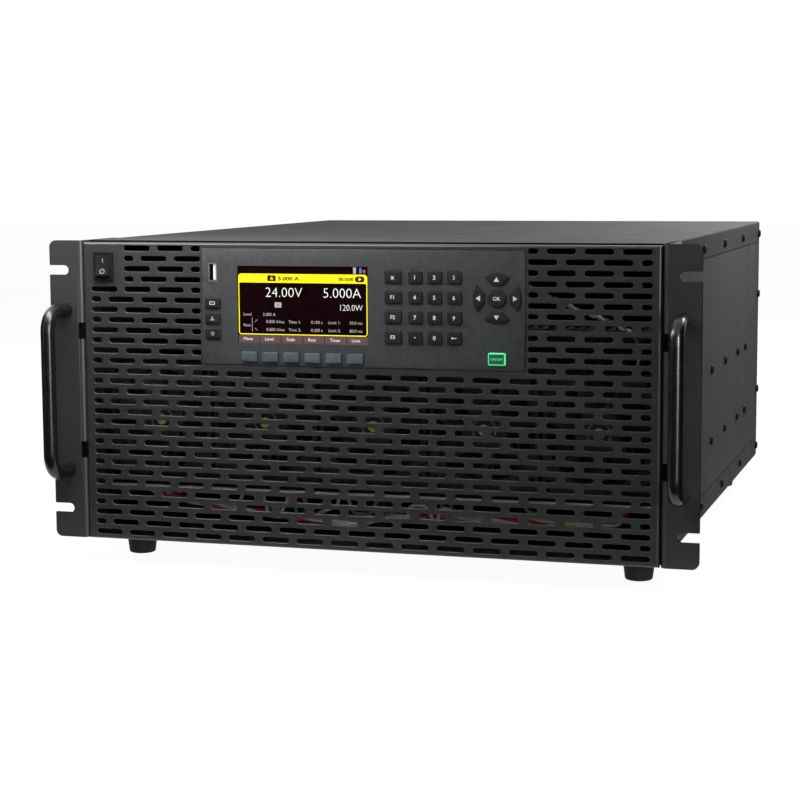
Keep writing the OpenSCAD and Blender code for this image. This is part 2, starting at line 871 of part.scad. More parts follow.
// Right ear bracket with rack slots and countersunk handle holes
module ear_bracket() {
    difference() {
        intersection() {
            linear_extrude(panel_h) ear_plan();
            through(-cut, ear_flange_d + cut) ear_outline();
        }
        through(-cut, ear_t + cut) rack_slots();
        at_legs() handle_screw_hole();
        side_holes(ear_screw_y, ear_screw_z);
    }
}

// Clearance for a countersunk handle screw in the ear
module handle_screw_hole() {
    translate([0, ear_t, 0]) rotate([90, 0, 0]) {
        cylinder(d = handle_screw_d + 2 * screw_gap, h = ear_t + cut);
        translate([0, 0, -cut]) cylinder(d = csk_d + 2 * screw_gap, h = cut);
        cylinder(d1 = csk_d + 2 * screw_gap, d2 = handle_screw_d + 2 * screw_gap, h = csk_h);
    }
}

// Right rack ear
module right_rack_ear() {
    color(PANEL_GREY) placed() ear_bracket();
}

// Left rack ear
module left_rack_ear() {
    color(PANEL_GREY) placed() mirror([1, 0, 0]) ear_bracket();
}

// Round bar bent to a handle, with a threaded hole in the end of each leg
module handle_bar() {
    grip = handle_span - 2 * handle_bend_r;
    leg = handle_reach - handle_bend_r;
    translate([handle_x, 0, panel_h / 2]) difference() {
        union() {
            translate([0, -handle_reach, 0]) cylinder(d = handle_d, h = grip, center = true);
            for (side = [-1, 1]) translate([0, 0, side * handle_span / 2]) rotate([90, 0, 0])
                cylinder(d = handle_d, h = leg);
            handle_bend(leg, grip / 2);
            mirror([0, 0, 1]) handle_bend(leg, grip / 2);
        }
        for (side = [-1, 1]) translate([0, cut, side * handle_span / 2]) rotate([90, 0, 0])
            cylinder(d = handle_screw_d + 2 * screw_gap, h = handle_screw_depth + drill_over + cut);
    }
}

// Quarter bend from the upper leg to the grip
module handle_bend(leg, grip_end) {
    translate([0, -leg, grip_end]) rotate([90, 0, -90])
        rotate_extrude(angle = 90) translate([handle_bend_r, 0]) circle(d = handle_d);
}

// Right handle
module right_handle() {
    color(KEY_BLACK) placed() handle_bar();
}

// Left handle
module left_handle() {
    color(KEY_BLACK) placed() mirror([1, 0, 0]) handle_bar();
}

// Holes through the case's right side at one depth and several heights
module side_holes(y, heights) {
    for (z = heights) translate([side_x + cut + ear_t + seam, y, z]) rotate([0, -90, 0])
        cylinder(d = screw_d + 2 * screw_gap, h = screw_l + ear_t + 2 * cut);
}

// All screw holes of the right side: both lips, the rear edge and the two rows on the side panel
module side_panel_holes() {
    for (y = lip_screw_y) side_holes(y, [lip_screw_in, panel_h - lip_screw_in]);
    for (y = side_screw_y) side_holes(y, side_screw_z);
    side_holes(case_d - screw_rear, rear_screw_z);
    side_holes(ear_screw_y, ear_screw_z);
}

// Runs the child on the right side and mirrored on the left side
module both_sides() {
    children();
    mirror([1, 0, 0]) children();
}

// Sheet folded to a shallow U with lips, its flat at height zero
module lipped_sheet() {
    through(cover_y, case_d) difference() {
        folded(case_w, lip_h, fold_r);
        translate([0, sheet_t]) folded(case_w - 2 * sheet_t, lip_h, fold_r - sheet_t);
    }
}

// Top cover with a lip down each side
module top_cover() {
    color(COVER_GREY) placed() difference() {
        translate([0, 0, panel_h]) mirror([0, 0, 1]) lipped_sheet();
        both_sides() for (y = lip_screw_y) side_holes(y, [panel_h - lip_screw_in]);
    }
}

// Bottom pan with a lip up each side, holes for the feet and standoffs for the power board
module bottom_pan() {
    color(COVER_GREY) placed() {
        difference() {
            lipped_sheet();
            both_sides() for (y = lip_screw_y) side_holes(y, [lip_screw_in]);
            for (place = FEET) translate([place[0], place[1], -cut])
                cylinder(d = screw_d + 2 * screw_gap, h = sheet_t + 2 * cut);
        }
        for (x = [-post_x, 0, post_x], y = post_rows) translate([x, y, sheet_t / 2])
            cylinder(d = post_d, h = board_z - sheet_t / 2);
    }
}

// Section of the right side panel: flush between the lips, with stepped edges behind them
module side_section() {
    low = lip_h + seam;
    high = panel_h - lip_h - seam;
    translate([side_x - sheet_t, low]) square([sheet_t, high - low]);
    for (z = [low, high - joggle_h]) translate([strip_x, z]) square([side_x - strip_x, joggle_h]);
    translate([strip_x, strip_margin]) square([sheet_t, low + joggle_h - strip_margin]);
    translate([strip_x, high - joggle_h]) square([sheet_t, low + joggle_h - strip_margin]);
}

// Right side panel
module side_panel() {
    difference() {
        through(cover_y, case_d) side_section();
        side_panel_holes();
        translate([strip_x, pin_hole_y, pin_hole_z]) rotate([0, 90, 0])
            cylinder(d = pin_hole_d, h = side_x - strip_x + cut, $fn = 24);
    }
}

// Right side panel in its place
module right_side_panel() {
    color(COVER_GREY) placed() side_panel();
}

// Left side panel in its place
module left_side_panel() {
    color(COVER_GREY) placed() mirror([1, 0, 0]) side_panel();
}

// Exhaust slots of the rear panel, opposite the heat sinks
module rear_slots() {
    rows = floor((sink_top_z - sink_floor_z - slot_h) / row_pitch);
    for (row = [0:rows]) translate([0, sink_floor_z + slot_h / 2 + row * row_pitch])
        slot_row(row, -grille_x + rear_edge_d, grille_x - rear_edge_d);
}

// Rear panel: a tray that faces the rear, with exhaust slots and openings for what passes through it
module rear_panel() {
    color(COVER_GREY) placed() difference() {
        translate([0, case_d, 0]) mirror([0, 1, 0]) tray(inner_w, inner_h, rear_edge_d);
        through(rear_inside - cut, rear_face + cut) {
            rear_slots();
            translate([inlet_x, rear_row_z])
                square([inlet_body_w + 2 * port_gap, inlet_body_h + 2 * port_gap], center = true);
            for (port = PORTS) translate([port_board_x + port[0], rear_row_z])
                square([port[1] + 2 * port_gap, port[2] + 2 * port_gap], center = true);
            translate([terminal_x, rear_row_z])
                square([terminal_gap_w, terminal_t + 2 * terminal_clear], center = true);
        }
        both_sides() side_panel_holes();
    }
}

// Mouth of the mains inlet, with its two lower corners cut off
module inlet_mouth() {
    half_w = inlet_body_w / 2 - inlet_wall;
    half_h = inlet_body_h / 2 - inlet_wall;
    polygon([
        [-half_w, half_h], [half_w, half_h],
        [half_w, -half_h + inlet_chamfer], [half_w - inlet_chamfer, -half_h],
        [-half_w + inlet_chamfer, -half_h], [-half_w, -half_h + inlet_chamfer]
    ]);
}

// Mains inlet with three blades in its cavity
module ac_inlet() {
    cavity_end = rear_face + inlet_flange_t - inlet_depth;
    color(KEY_BLACK) placed() translate([inlet_x, 0, rear_row_z]) {
        difference() {
            union() {
                through(rear_face, rear_face + inlet_flange_t) rounded(inlet_w, inlet_h, inlet_corner_r);
                through(cavity_end - inlet_floor, rear_face)
                    square([inlet_body_w, inlet_body_h], center = true);
            }
            through(cavity_end, rear_face + inlet_flange_t + cut) inlet_mouth();
        }
        for (pin = inlet_pins) translate([pin[0], 0, pin[1]])
            through(cavity_end - inlet_floor / 2, rear_face) square(inlet_pin, center = true);
    }
}

// Shell of one rear connector, with its mouth given by the child
module port_shell(port) {
    translate([port[0], 0, 0]) difference() {
        through(port_board_y - board_t / 2, port_face) square([port[1], port[2]], center = true);
        through(port_floor, port_face + cut) children();
    }
}

// USB device socket with its square tongue
module usb_b_socket() {
    port_shell(USB_B_PORT) square(usb_b_mouth, center = true);
    translate([USB_B_PORT[0], 0, 0]) through(port_floor - cut, port_face - tongue_back)
        square(usb_b_tongue, center = true);
}

// Serial socket: a D-shaped mouth with five pins over four
module serial_socket() {
    half = serial_mouth_w / 2;
    port_shell(SERIAL_PORT) polygon([
        [-half, serial_mouth_h / 2], [half, serial_mouth_h / 2],
        [half - serial_slant, -serial_mouth_h / 2], [-half + serial_slant, -serial_mouth_h / 2]
    ]);
    translate([SERIAL_PORT[0], 0, 0]) through(port_floor - cut, port_face - tongue_back) {
        for (k = [-2:2]) translate([k * serial_pin_pitch, serial_pin_row]) circle(d = serial_pin_d);
        for (k = [-1.5:1.5]) translate([k * serial_pin_pitch, -serial_pin_row]) circle(d = serial_pin_d);
    }
}

// Strip of wire terminals
module terminal_strip() {
    port_shell(STRIP_PORT) for (k = [0:strip_ways - 1])
        translate([(k - (strip_ways - 1) / 2) * strip_pitch, 0]) circle(d = strip_hole_d);
}

// Board with the rear connectors, on standoffs behind the rear panel
module interface_board() {
    color(BOARD_GREEN) placed() translate([port_board_x, 0, rear_row_z]) {
        through(port_board_y - board_t, port_board_y) square([port_board_w, port_board_h], center = true);
        port_shell(NETWORK_PORT) square(network_mouth, center = true);
        usb_b_socket();
        serial_socket();
        terminal_strip();
        for (sx = [-1, 1], sz = [-1, 1])
            translate([sx * (port_board_w / 2 - port_post_in), 0, sz * (port_board_h / 2 - port_post_in)])
                through(port_board_y - board_t / 2, rear_inside) circle(d = port_post_d);
    }
}

// Two load terminal bars in an insulating block on the rear panel
module load_terminals() {
    color([0.78, 0.72, 0.6]) placed() translate([terminal_x, 0, rear_row_z]) {
        difference() {
            through(rear_face, rear_face + terminal_block_t)
                rounded(terminal_block_w, terminal_block_h, terminal_corner_r);
            for (side = [-1, 1]) translate([side * terminal_pitch / 2, 0, 0])
                through(rear_face - cut, rear_face + terminal_block_t + cut)
                    square([terminal_w + 2 * terminal_fit, terminal_t + 2 * terminal_fit], center = true);
        }
        for (side = [-1, 1]) translate([side * terminal_pitch / 2, 0, 0]) terminal_bar();
    }
}

// One terminal bar with its bolt hole
module terminal_bar() {
    bar_end = rear_face + terminal_reach;
    difference() {
        through(rear_inside - terminal_inside, bar_end) square([terminal_w, terminal_t], center = true);
        translate([0, bar_end - terminal_hole_in, 0])
            cylinder(d = terminal_hole_d, h = terminal_t + 2 * cut, center = true);
    }
}

// Moves a child to the place of one fan
module at_fan(i) {
    translate([(i - (fan_count + 1) / 2) * fan_pitch, 0, fan_z]) children();
}

// One square fan frame with its round duct, its struts and its motor plate at the back
module fan_frame() {
    back = fan_y + fan_t;
    difference() {
        through(fan_y, back) rounded(fan_size, fan_size, fan_corner_r);
        through(fan_y - cut, back + cut) circle(fan_bore_r, $fn = 96);
        for (sx = [-1, 1], sz = [-1, 1]) translate([sx, 0, sz] * (fan_size / 2 - fan_hole_in))
            through(fan_y - cut, back + cut) circle(d = fan_hole_d);
    }
    difference() {
        union() {
            through(back - motor_t, back) circle(d = hub_d);
            for (turn = [45, 135]) through(back - motor_t, back) rotate(turn)
                square([2 * fan_bore_r + fan_wall, strut_w], center = true);
        }
        through(back - motor_t - cut, back + cut) circle(d = shaft_d + 2 * pivot_gap);
    }
}

// The five fan frames in a row behind the grille
module fan_frames() {
    color(KEY_BLACK) placed() for (i = FANS) at_fan(i) fan_frame();
}

// Rotor with pitched blades round a hub, a bush in front and a shaft into the motor plate
module fan_rotor(i) {
    blade_r = fan_bore_r - tip_gap;
    color([0.1, 0.1, 0.1]) placed() at_fan(i) {
        through(hub_front, hub_back) circle(d = hub_d);
        through(hub_front - bush_proud, hub_front + cut) circle(d = bush_d);
        through(hub_back - cut, fan_y + fan_t) circle(d = shaft_d);
        intersection() {
            through(hub_front, hub_back) difference() {
                circle(blade_r, $fn = 96);
                circle(hub_d / 2 - blade_in);
            }
            for (k = [0:blade_count - 1]) rotate([0, 360 / blade_count * k, 0])
                translate([0, (hub_front + hub_back) / 2, 0]) rotate([blade_angle, 0, 0])
                    translate([hub_d / 2 - blade_in, -blade_t / 2, -blade_l / 2])
                        cube([blade_r, blade_t, blade_l]);
        }
    }
}

// One finned heat sink behind a fan
module heat_sink() {
    fin_pitch = (sink_w - fin_t) / (fin_count - 1);
    through(sink_y, sink_y + sink_l) {
        translate([-sink_w / 2, sink_floor_z - fan_z]) square([sink_w, sink_base]);
        for (k = [0:fin_count - 1]) translate([-sink_w / 2 + k * fin_pitch, sink_floor_z - fan_z])
            square([fin_t, sink_top_z - sink_floor_z]);
    }
}

// The five heat sinks on the power board
module heat_sinks() {
    color([0.75, 0.75, 0.76]) placed() for (i = FANS) at_fan(i) heat_sink();
}

// Power board under the heat sinks
module power_board() {
    color(BOARD_TAN) placed() translate([-power_board_w / 2, power_board_y, board_z])
        cube([power_board_w, power_board_d, board_t]);
}

// One wire along the standoffs, bent up to the board at both ends
module wire(k) {
    z = wire_first_z + k * wire_step_z;
    from = -side_x + WIRE_INSETS[k][0];
    to = side_x - WIRE_INSETS[k][1];
    translate([0, wire_y, z]) {
        translate([from + wire_bend_r, 0, 0]) rotate([0, 90, 0])
            cylinder(d = wire_d, h = to - from - 2 * wire_bend_r);
        for (end = [[from, 0], [to, 180]]) translate([end[0], 0, 0]) rotate([0, 0, end[1]]) {
            translate([wire_bend_r, 0, wire_bend_r]) rotate([90, 0, 0]) rotate([0, 0, 180])
                rotate_extrude(angle = 90) translate([wire_bend_r, 0]) circle(d = wire_d);
            translate([0, 0, wire_bend_r]) cylinder(d = wire_d, h = board_z - z - wire_bend_r);
        }
    }
}

// The wires under the power board
module wiring() {
    color("firebrick") placed() for (k = [0:len(WIRE_INSETS) - 1]) wire(k);
}

// One rubber foot with a deep hole for its screw
module rubber_foot() {
    translate([0, 0, -foot_h]) difference() {
        union() {
            cylinder(d1 = foot_base_d - 2 * foot_chamfer, d2 = foot_base_d, h = foot_chamfer);
            translate([0, 0, foot_chamfer])
                cylinder(d1 = foot_base_d, d2 = foot_top_d, h = foot_h - foot_chamfer);
        }
        translate([0, 0, -cut])
            cylinder(d = foot_screw_head_d + 2 * foot_head_gap, h = foot_h - foot_web + cut);
        cylinder(d = screw_d + 2 * screw_gap, h = foot_h + cut);
    }
}

// The four feet
module rubber_feet() {
    color([0.07, 0.07, 0.07]) placed() for (place = FEET) translate([place[0], place[1], 0]) rubber_foot();
}

// A case screw that points along X from its head's seat
module case_screw(seat) {
    translate([seat, 0, 0]) rotate([0, 90, 0]) {
        cylinder(d1 = screw_head_d, d2 = screw_head_d - screw_head_h, h = screw_head_h);
        translate([0, 0, -screw_l]) cylinder(d = screw_d, h = screw_l + cut);
    }
}

// Case screws of the right side at one depth and several heights
module side_screws(y, heights, seat) {
    for (z = heights) translate([0, y, z]) case_screw(seat);
}

// Countersunk screw that holds one leg of a handle
module handle_screw() {
    translate([0, ear_t, 0]) rotate([90, 0, 0]) {
        cylinder(d1 = csk_d, d2 = handle_screw_d, h = csk_h);
        cylinder(d = handle_screw_d, h = ear_t + handle_screw_depth);
    }
}

// Screw that holds one foot
module foot_screw() {
    translate([0, 0, -foot_web - foot_screw_head_h]) {
        cylinder(d = foot_screw_head_d, h = foot_screw_head_h);
        cylinder(d = screw_d, h = foot_screw_head_h + foot_web + sheet_t + foot_screw_over);
    }
}

// All fasteners of the case
module case_screws() {
    color([0.1, 0.1, 0.1]) placed() {
        both_sides() {
            for (y = lip_screw_y) side_screws(y, [lip_screw_in, panel_h - lip_screw_in], side_x);
            for (y = side_screw_y) side_screws(y, side_screw_z, side_x);
            side_screws(case_d - screw_rear, rear_screw_z, side_x);
            side_screws(ear_screw_y, ear_screw_z, side_x + seam + ear_t);
            at_legs() handle_screw();
        }
        for (place = FEET) translate([place[0], place[1], 0]) foot_screw();
    }
}

front_panel();
control_panel();
display_module();
keypad_board();
rocker_housing();
power_rocker();
left_rack_ear();
right_rack_ear();
left_handle();
right_handle();
top_cover();
bottom_pan();
left_side_panel();
right_side_panel();
rear_panel();
rubber_feet();
case_screws();
fan_frames();
heat_sinks();
power_board();
interface_board();
wiring();
load_terminals();
ac_inlet();
for (i = FANS) fan_rotor(i);
for (i = [0:5]) soft_key(i);
for (i = [0:2]) side_key(i);
for (i = [0:3]) column_key(i);
for (i = [0:11]) pad_key(i);
for (i = [0:3]) arrow_key(i);
enter_key();
load_key();
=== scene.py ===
# %% [markdown]
# # A rack-mount DC electronic load
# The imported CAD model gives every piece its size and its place. This lesson gives the pieces their looks:
# painted sheet metal, keys with printed marks, a lit display, glossy handles, and the fans and wires that
# show through the slots of the front.

# %% Load the frame
import json
import math

import bmesh
import bpy
from mathutils import Matrix, Vector


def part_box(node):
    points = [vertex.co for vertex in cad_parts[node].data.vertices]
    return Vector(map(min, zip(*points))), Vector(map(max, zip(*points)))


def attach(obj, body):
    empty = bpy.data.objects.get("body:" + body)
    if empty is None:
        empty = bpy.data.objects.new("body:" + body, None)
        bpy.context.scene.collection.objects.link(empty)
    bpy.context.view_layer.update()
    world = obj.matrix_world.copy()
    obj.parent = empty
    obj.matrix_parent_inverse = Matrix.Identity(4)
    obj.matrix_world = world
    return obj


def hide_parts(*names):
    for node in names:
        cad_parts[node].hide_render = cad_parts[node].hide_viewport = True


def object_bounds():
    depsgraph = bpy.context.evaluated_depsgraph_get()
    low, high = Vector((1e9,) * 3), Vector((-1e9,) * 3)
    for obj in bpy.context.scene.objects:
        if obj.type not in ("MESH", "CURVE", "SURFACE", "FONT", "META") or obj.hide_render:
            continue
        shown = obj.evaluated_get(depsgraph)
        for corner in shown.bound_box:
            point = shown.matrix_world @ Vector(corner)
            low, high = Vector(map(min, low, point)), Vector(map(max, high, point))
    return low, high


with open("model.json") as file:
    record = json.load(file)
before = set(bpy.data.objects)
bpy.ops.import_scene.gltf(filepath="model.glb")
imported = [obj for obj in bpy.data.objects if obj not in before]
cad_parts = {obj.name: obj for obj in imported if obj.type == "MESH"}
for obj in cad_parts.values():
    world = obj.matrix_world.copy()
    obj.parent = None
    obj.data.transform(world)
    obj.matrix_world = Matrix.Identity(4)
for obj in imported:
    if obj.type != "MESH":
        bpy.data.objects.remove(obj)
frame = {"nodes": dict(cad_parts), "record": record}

MM = 0.001
CAD_LOW, CAD_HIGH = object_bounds()
nodes = frame["nodes"]
body_of_node = {
    node: body
    for body, members in frame["record"]["behaviour"]["bodies"].items()
    for node in members
}
print("CAD box in mm:", [round((high - low) / MM, 1) for low, high in zip(CAD_LOW, CAD_HIGH)])

# %% [markdown]
# ## The camera
# A product photograph is taken with a long lens from a little above. The place, the aim and the lens come
# from fitting the corners of the two rack ears, whose width is a standard size. Building the rotation from
# three axes keeps the small roll of the real camera, which a "look at" helper would lose.

# %% Set up the camera
CAMERA_PLACE = Vector((0.43203, -1.58892, 0.29175))
CAMERA_TURN = math.radians(17.0018)
CAMERA_DIP = math.radians(6.7516)
CAMERA_ROLL = math.radians(-0.3099)
LENS_MM = 88.5
SENSOR_MM = 36
SIGHT_END = 100


def linked(name, data):
    """A new object in the scene."""
    made = bpy.data.objects.new(name, data)
    bpy.context.scene.collection.objects.link(made)
    return made


def camera_axes(turn, dip, roll):
    """Rotation of a camera that looks along +Y, then turns left, dips and rolls."""
    ahead = Vector((-math.sin(turn) * math.cos(dip), math.cos(turn) * math.cos(dip), -math.sin(dip)))
    right = Vector((math.cos(turn), math.sin(turn), 0))
    up = right.cross(ahead)
    rolled_right = right * math.cos(roll) + up * math.sin(roll)
    rolled_up = up * math.cos(roll) - right * math.sin(roll)
    return Matrix((rolled_right, rolled_up, -ahead)).transposed().to_4x4()


camera = linked("camera", bpy.data.cameras.new("camera"))
camera.data.sensor_width = SENSOR_MM
camera.data.lens = LENS_MM
camera.data.clip_end = SIGHT_END
camera.matrix_world = Matrix.Translation(CAMERA_PLACE) @ camera_axes(CAMERA_TURN, CAMERA_DIP, CAMERA_ROLL)
bpy.context.scene.camera = camera
print("Camera at", tuple(round(x, 3) for x in CAMERA_PLACE), "with a lens of", LENS_MM, "mm")

# %% [markdown]
# ## Floor, background and light
# The object stands on a white sweep under soft light. The floor and the world look white to the camera and
# in reflections, while the light that falls on the object stays at a plain level. The floor still takes a
# share of real light, so that the feet keep their shadow. The key light is a long, narrow box close above
# the front, so its light fades to the right and downwards. Two strips beside the camera show in mirrors
# only and draw lines of light on handles and folds.

# %% Define the node helpers
MIX_INPUTS = (0, 6, 7)
MIX_OUTPUT = 2


def feed(tree, value, socket):
    """Gives a socket a link or a plain value."""
    if isinstance(value, bpy.types.NodeSocket):
        tree.links.new(value, socket)
    else:
        socket.default_value = value


def math_node(tree, operation, *values):
    """The result of a maths node."""
    made = tree.nodes.new("ShaderNodeMath")
    made.operation = operation
    for value, socket in zip(values, made.inputs):
        feed(tree, value, socket)
    return made.outputs[0]


def color_mix(tree, share, first, second):
    """A mix of two colours by a share of the second one."""
    made = tree.nodes.new("ShaderNodeMix")
    made.data_type = "RGBA"
    for value, index in zip((share, first, second), MIX_INPUTS):
        feed(tree, value, made.inputs[index])
    return made.outputs[MIX_OUTPUT]


def seen_rays(tree):
    """A value that is one for camera, mirror and glass rays."""
    path = tree.nodes.new("ShaderNodeLightPath")
    total = math_node(tree, "ADD", path.outputs["Is Camera Ray"], path.outputs["Is Glossy Ray"])
    clamped = math_node(tree, "ADD", total, path.outputs["Is Transmission Ray"])
    clamped.node.use_clamp = True
    return clamped


print("Node helpers ready")

# %% Make the floor and the world
FLOOR_HALF = 8.0
FLOOR_GLOW = 0.8
GLOW_STRENGTH = 1.2
PAPER_SHADE = (0.4, 0.4, 0.4, 1)
PAPER_ROUGHNESS = 0.9
AMBIENT = (0.065, 0.065, 0.067, 1)
WHITE = (1, 1, 1, 1)

bpy.context.scene.view_settings.view_transform = "Standard"


def floor_finish():
    """White paper that glows a little for the camera and still takes a shadow."""
    made = bpy.data.materials.new("white_sweep")
    made.use_nodes = True
    tree = made.node_tree
    paper = tree.nodes["Principled BSDF"]
    paper.inputs["Base Color"].default_value = PAPER_SHADE
    paper.inputs["Roughness"].default_value = PAPER_ROUGHNESS
    glow = tree.nodes.new("ShaderNodeEmission")
    glow.inputs["Strength"].default_value = GLOW_STRENGTH
    mix = tree.nodes.new("ShaderNodeMixShader")
    tree.links.new(math_node(tree, "MULTIPLY", seen_rays(tree), FLOOR_GLOW), mix.inputs["Fac"])
    tree.links.new(paper.outputs["BSDF"], mix.inputs[1])
    tree.links.new(glow.outputs["Emission"], mix.inputs[2])
    tree.links.new(mix.outputs["Shader"], tree.nodes["Material Output"].inputs["Surface"])
    return made


def quads(name, corners, finish):
    """Flat sheets with four corners each."""
    mesh = bpy.data.meshes.new(name)
    mesh.from_pydata(corners, [], [tuple(range(i, i + 4)) for i in range(0, len(corners), 4)])
    mesh.materials.append(finish)
    return linked(name, mesh)


floor_corners = [(sx * FLOOR_HALF, sy * FLOOR_HALF, 0) for sx, sy in ((-1, -1), (1, -1), (1, 1), (-1, 1))]
floor = quads("floor", floor_corners, floor_finish())

world = bpy.data.worlds.new("studio")
bpy.context.scene.world = world
world.use_nodes = True
sky = world.node_tree.nodes["Background"]
sky_color = color_mix(world.node_tree, seen_rays(world.node_tree), AMBIENT, WHITE)
world.node_tree.links.new(sky_color, sky.inputs["Color"])
print("Floor of", 2 * FLOOR_HALF, "m and a white world")

# %% Hang the softboxes


def softbox(name, place, target, width, height, watts, in_mirrors_only=False):
    """A rectangular lamp that points from its place to a target."""
    lamp = bpy.data.lights.new(name, "AREA")
    lamp.shape = "RECTANGLE"
    lamp.size = width
    lamp.size_y = height
    lamp.energy = watts
    box = linked(name, lamp)
    box.location = place
    box.rotation_euler = (Vector(target) - Vector(place)).to_track_quat("-Z", "Y").to_euler()
    box.visible_camera = False
    box.visible_diffuse = not in_mirrors_only


softbox("key_light", (-0.16, -0.4, 0.42), (-0.12, -0.27, 0.15), 0.4, 0.1, 1.35)
softbox("edge_light", (-0.16, -0.345, 0.36), (-0.14, -0.27, 0.15), 0.4, 0.06, 0.5)
softbox("front_light", (0.5, -2.2, 0.6), (0, -0.27, 0.12), 0.8, 0.8, 2.5)
softbox("top_light", (-0.2, 0.45, 1.7), (0, 0.15, 0.24), 1.4, 1.0, 2.5)
softbox("side_light", (0.36, 0.17, 0.42), (0.214, 0.1, 0.16), 0.5, 0.12, 1.9)
softbox("rear_light", (0.3, 1.7, 1.1), (0, 0.28, 0.12), 1.0, 0.6, 18)
softbox("left_light", (-1.3, 0.6, 0.9), (-0.21, 0.1, 0.12), 0.8, 0.5, 6)
softbox("right_strip", (1.15, -1.45, 0.45), (0, -0.27, 0.14), 0.4, 1.1, 30, in_mirrors_only=True)
softbox("left_strip", (-1.25, -1.25, 0.45), (0, -0.27, 0.14), 0.08, 1.1, 1.5, in_mirrors_only=True)
print("Nine softboxes")

# %% [markdown]
# ## Helpers for finishes
# A finish is a Principled shader with three kinds of unevenness: a slow drift of colour, patches of gloss
# and a fine grain in the surface. All of them read Object coordinates, which are metres on this part, so a
# scale of 2000 means grains of half a millimetre on every piece.

# %% Define the finish helpers
EVEN = (1, 1, 1)
NOISE_DETAIL = 2
DRIFT_SPAN = (0.35, 0.65)
PATCH_SPAN = (0.3, 0.7)
GRAIN_DEPTH = 0.05 * MM


def shader_of(made):
    """The shader node of a finish."""
    return made.node_tree.nodes["Principled BSDF"]


def principled(name, color, roughness, metallic=0.0, specular=0.5):
    """A plain shader with its even values set on its own sockets."""
    made = bpy.data.materials.new(name)
    made.use_nodes = True
    shader = shader_of(made)
    shader.inputs["Base Color"].default_value = (*color, 1)
    shader.inputs["Roughness"].default_value = roughness
    shader.inputs["Metallic"].default_value = metallic
    shader.inputs["Specular IOR Level"].default_value = specular
    return made


def noise(made, scale, stretch=EVEN):
    """A noise in Object coordinates, in waves per metre."""
    tree = made.node_tree
    place = tree.nodes.new("ShaderNodeTexCoord")
    mapping = tree.nodes.new("ShaderNodeMapping")
    mapping.inputs["Scale"].default_value = stretch
    texture = tree.nodes.new("ShaderNodeTexNoise")
    texture.inputs["Scale"].default_value = scale
    texture.inputs["Detail"].default_value = NOISE_DETAIL
    tree.links.new(place.outputs["Object"], mapping.inputs["Vector"])
    tree.links.new(mapping.outputs["Vector"], texture.inputs["Vector"])
    return texture.outputs[0]


def ramped(made, value, dark, light, span):
    """A colour that goes from a dark to a light shade over a span of values."""
    ramp = made.node_tree.nodes.new("ShaderNodeValToRGB")
    for end, place, shade in zip(ramp.color_ramp.elements, span, (dark, light)):
        end.position = place
        end.color = (*shade, 1)
    made.node_tree.links.new(value, ramp.inputs["Fac"])
    return ramp.outputs["Color"]


def drifting(made, dark, light, scale, stretch=EVEN):
    """Lets the colour drift between two shades."""
    color = ramped(made, noise(made, scale, stretch), dark, light, DRIFT_SPAN)
    made.node_tree.links.new(color, shader_of(made).inputs["Base Color"])


def patchy(made, low, high, scale):
    """Lets the roughness vary between two values."""
    tree = made.node_tree
    span = tree.nodes.new("ShaderNodeMapRange")
    span.inputs["From Min"].default_value = PATCH_SPAN[0]
    span.inputs["From Max"].default_value = PATCH_SPAN[1]
    span.inputs["To Min"].default_value = low
    span.inputs["To Max"].default_value = high
    tree.links.new(noise(made, scale), span.inputs["Value"])
    tree.links.new(span.outputs["Result"], shader_of(made).inputs["Roughness"])


def grained(made, scale, strength):
    """Gives the surface a fine grain."""
    tree = made.node_tree
    bump = tree.nodes.new("ShaderNodeBump")
    bump.inputs["Strength"].default_value = strength
    bump.inputs["Distance"].default_value = GRAIN_DEPTH
    tree.links.new(noise(made, scale), bump.inputs["Height"])
    tree.links.new(bump.outputs["Normal"], shader_of(made).inputs["Normal"])


def grey(value):
    """A grey of one value."""
    return (value, value, value)


def scaled(color, factor):
    """A lighter or darker shade of a colour."""
    return tuple(factor * channel for channel in color)


def dress(finish, *names):
    """Gives CAD nodes their finish."""
    for name in names:
        for slot in nodes[name].material_slots:
            slot.material = finish


print("Finish helpers ready")

# %% [markdown]
# ## Flags
# A photographer of glossy black things hangs black cloths, called flags, round the camera, so that the
# front mirrors darkness instead of the white room. Here they show in mirrors only: the lens doesn't see
# them, and they take no light from the object.

# %% Hang the flags
FLAG_SIDE = 2.4
FLAG_TOP = 2.6
FLAG_REAR = -3.2
FLAG_END = 3.0
FLAG_FRONT = -0.34
FLAG_LEFT = -0.5
FLAG_RIGHT = 0.28
FLAG_LIFT = 0.002


def lying(x_from, x_to, y_from, y_to):
    """The corners of a cloth on the floor."""
    return [(x, y, FLAG_LIFT) for x, y in ((x_from, y_from), (x_to, y_from), (x_to, y_to), (x_from, y_to))]


def hanging(x_from, y_from, x_to, y_to):
    """The corners of a cloth that hangs to the floor."""
    return [(x_from, y_from, 0), (x_to, y_to, 0), (x_to, y_to, FLAG_TOP), (x_from, y_from, FLAG_TOP)]


velvet = principled("velvet", grey(0.01), 0.9, specular=0.1)
drifting(velvet, grey(0.008), grey(0.013), 5)
flag_points = lying(-FLAG_SIDE, FLAG_SIDE, FLAG_REAR, FLAG_FRONT)
flag_points += lying(-FLAG_SIDE, FLAG_LEFT, FLAG_FRONT, FLAG_END)
flag_points += lying(FLAG_RIGHT, FLAG_SIDE, FLAG_FRONT, FLAG_END)
flag_points += hanging(-FLAG_SIDE, FLAG_REAR, FLAG_SIDE, FLAG_REAR)
flag_points += hanging(-FLAG_SIDE, FLAG_REAR, -FLAG_SIDE, FLAG_END)
flag_points += hanging(FLAG_SIDE, FLAG_REAR, FLAG_SIDE, FLAG_END)
flags = quads("flags", flag_points, velvet)
flags.visible_camera = False
flags.visible_shadow = False
flags.visible_diffuse = False
print("Hung", len(flag_points) // 4, "flags, open to the rear")

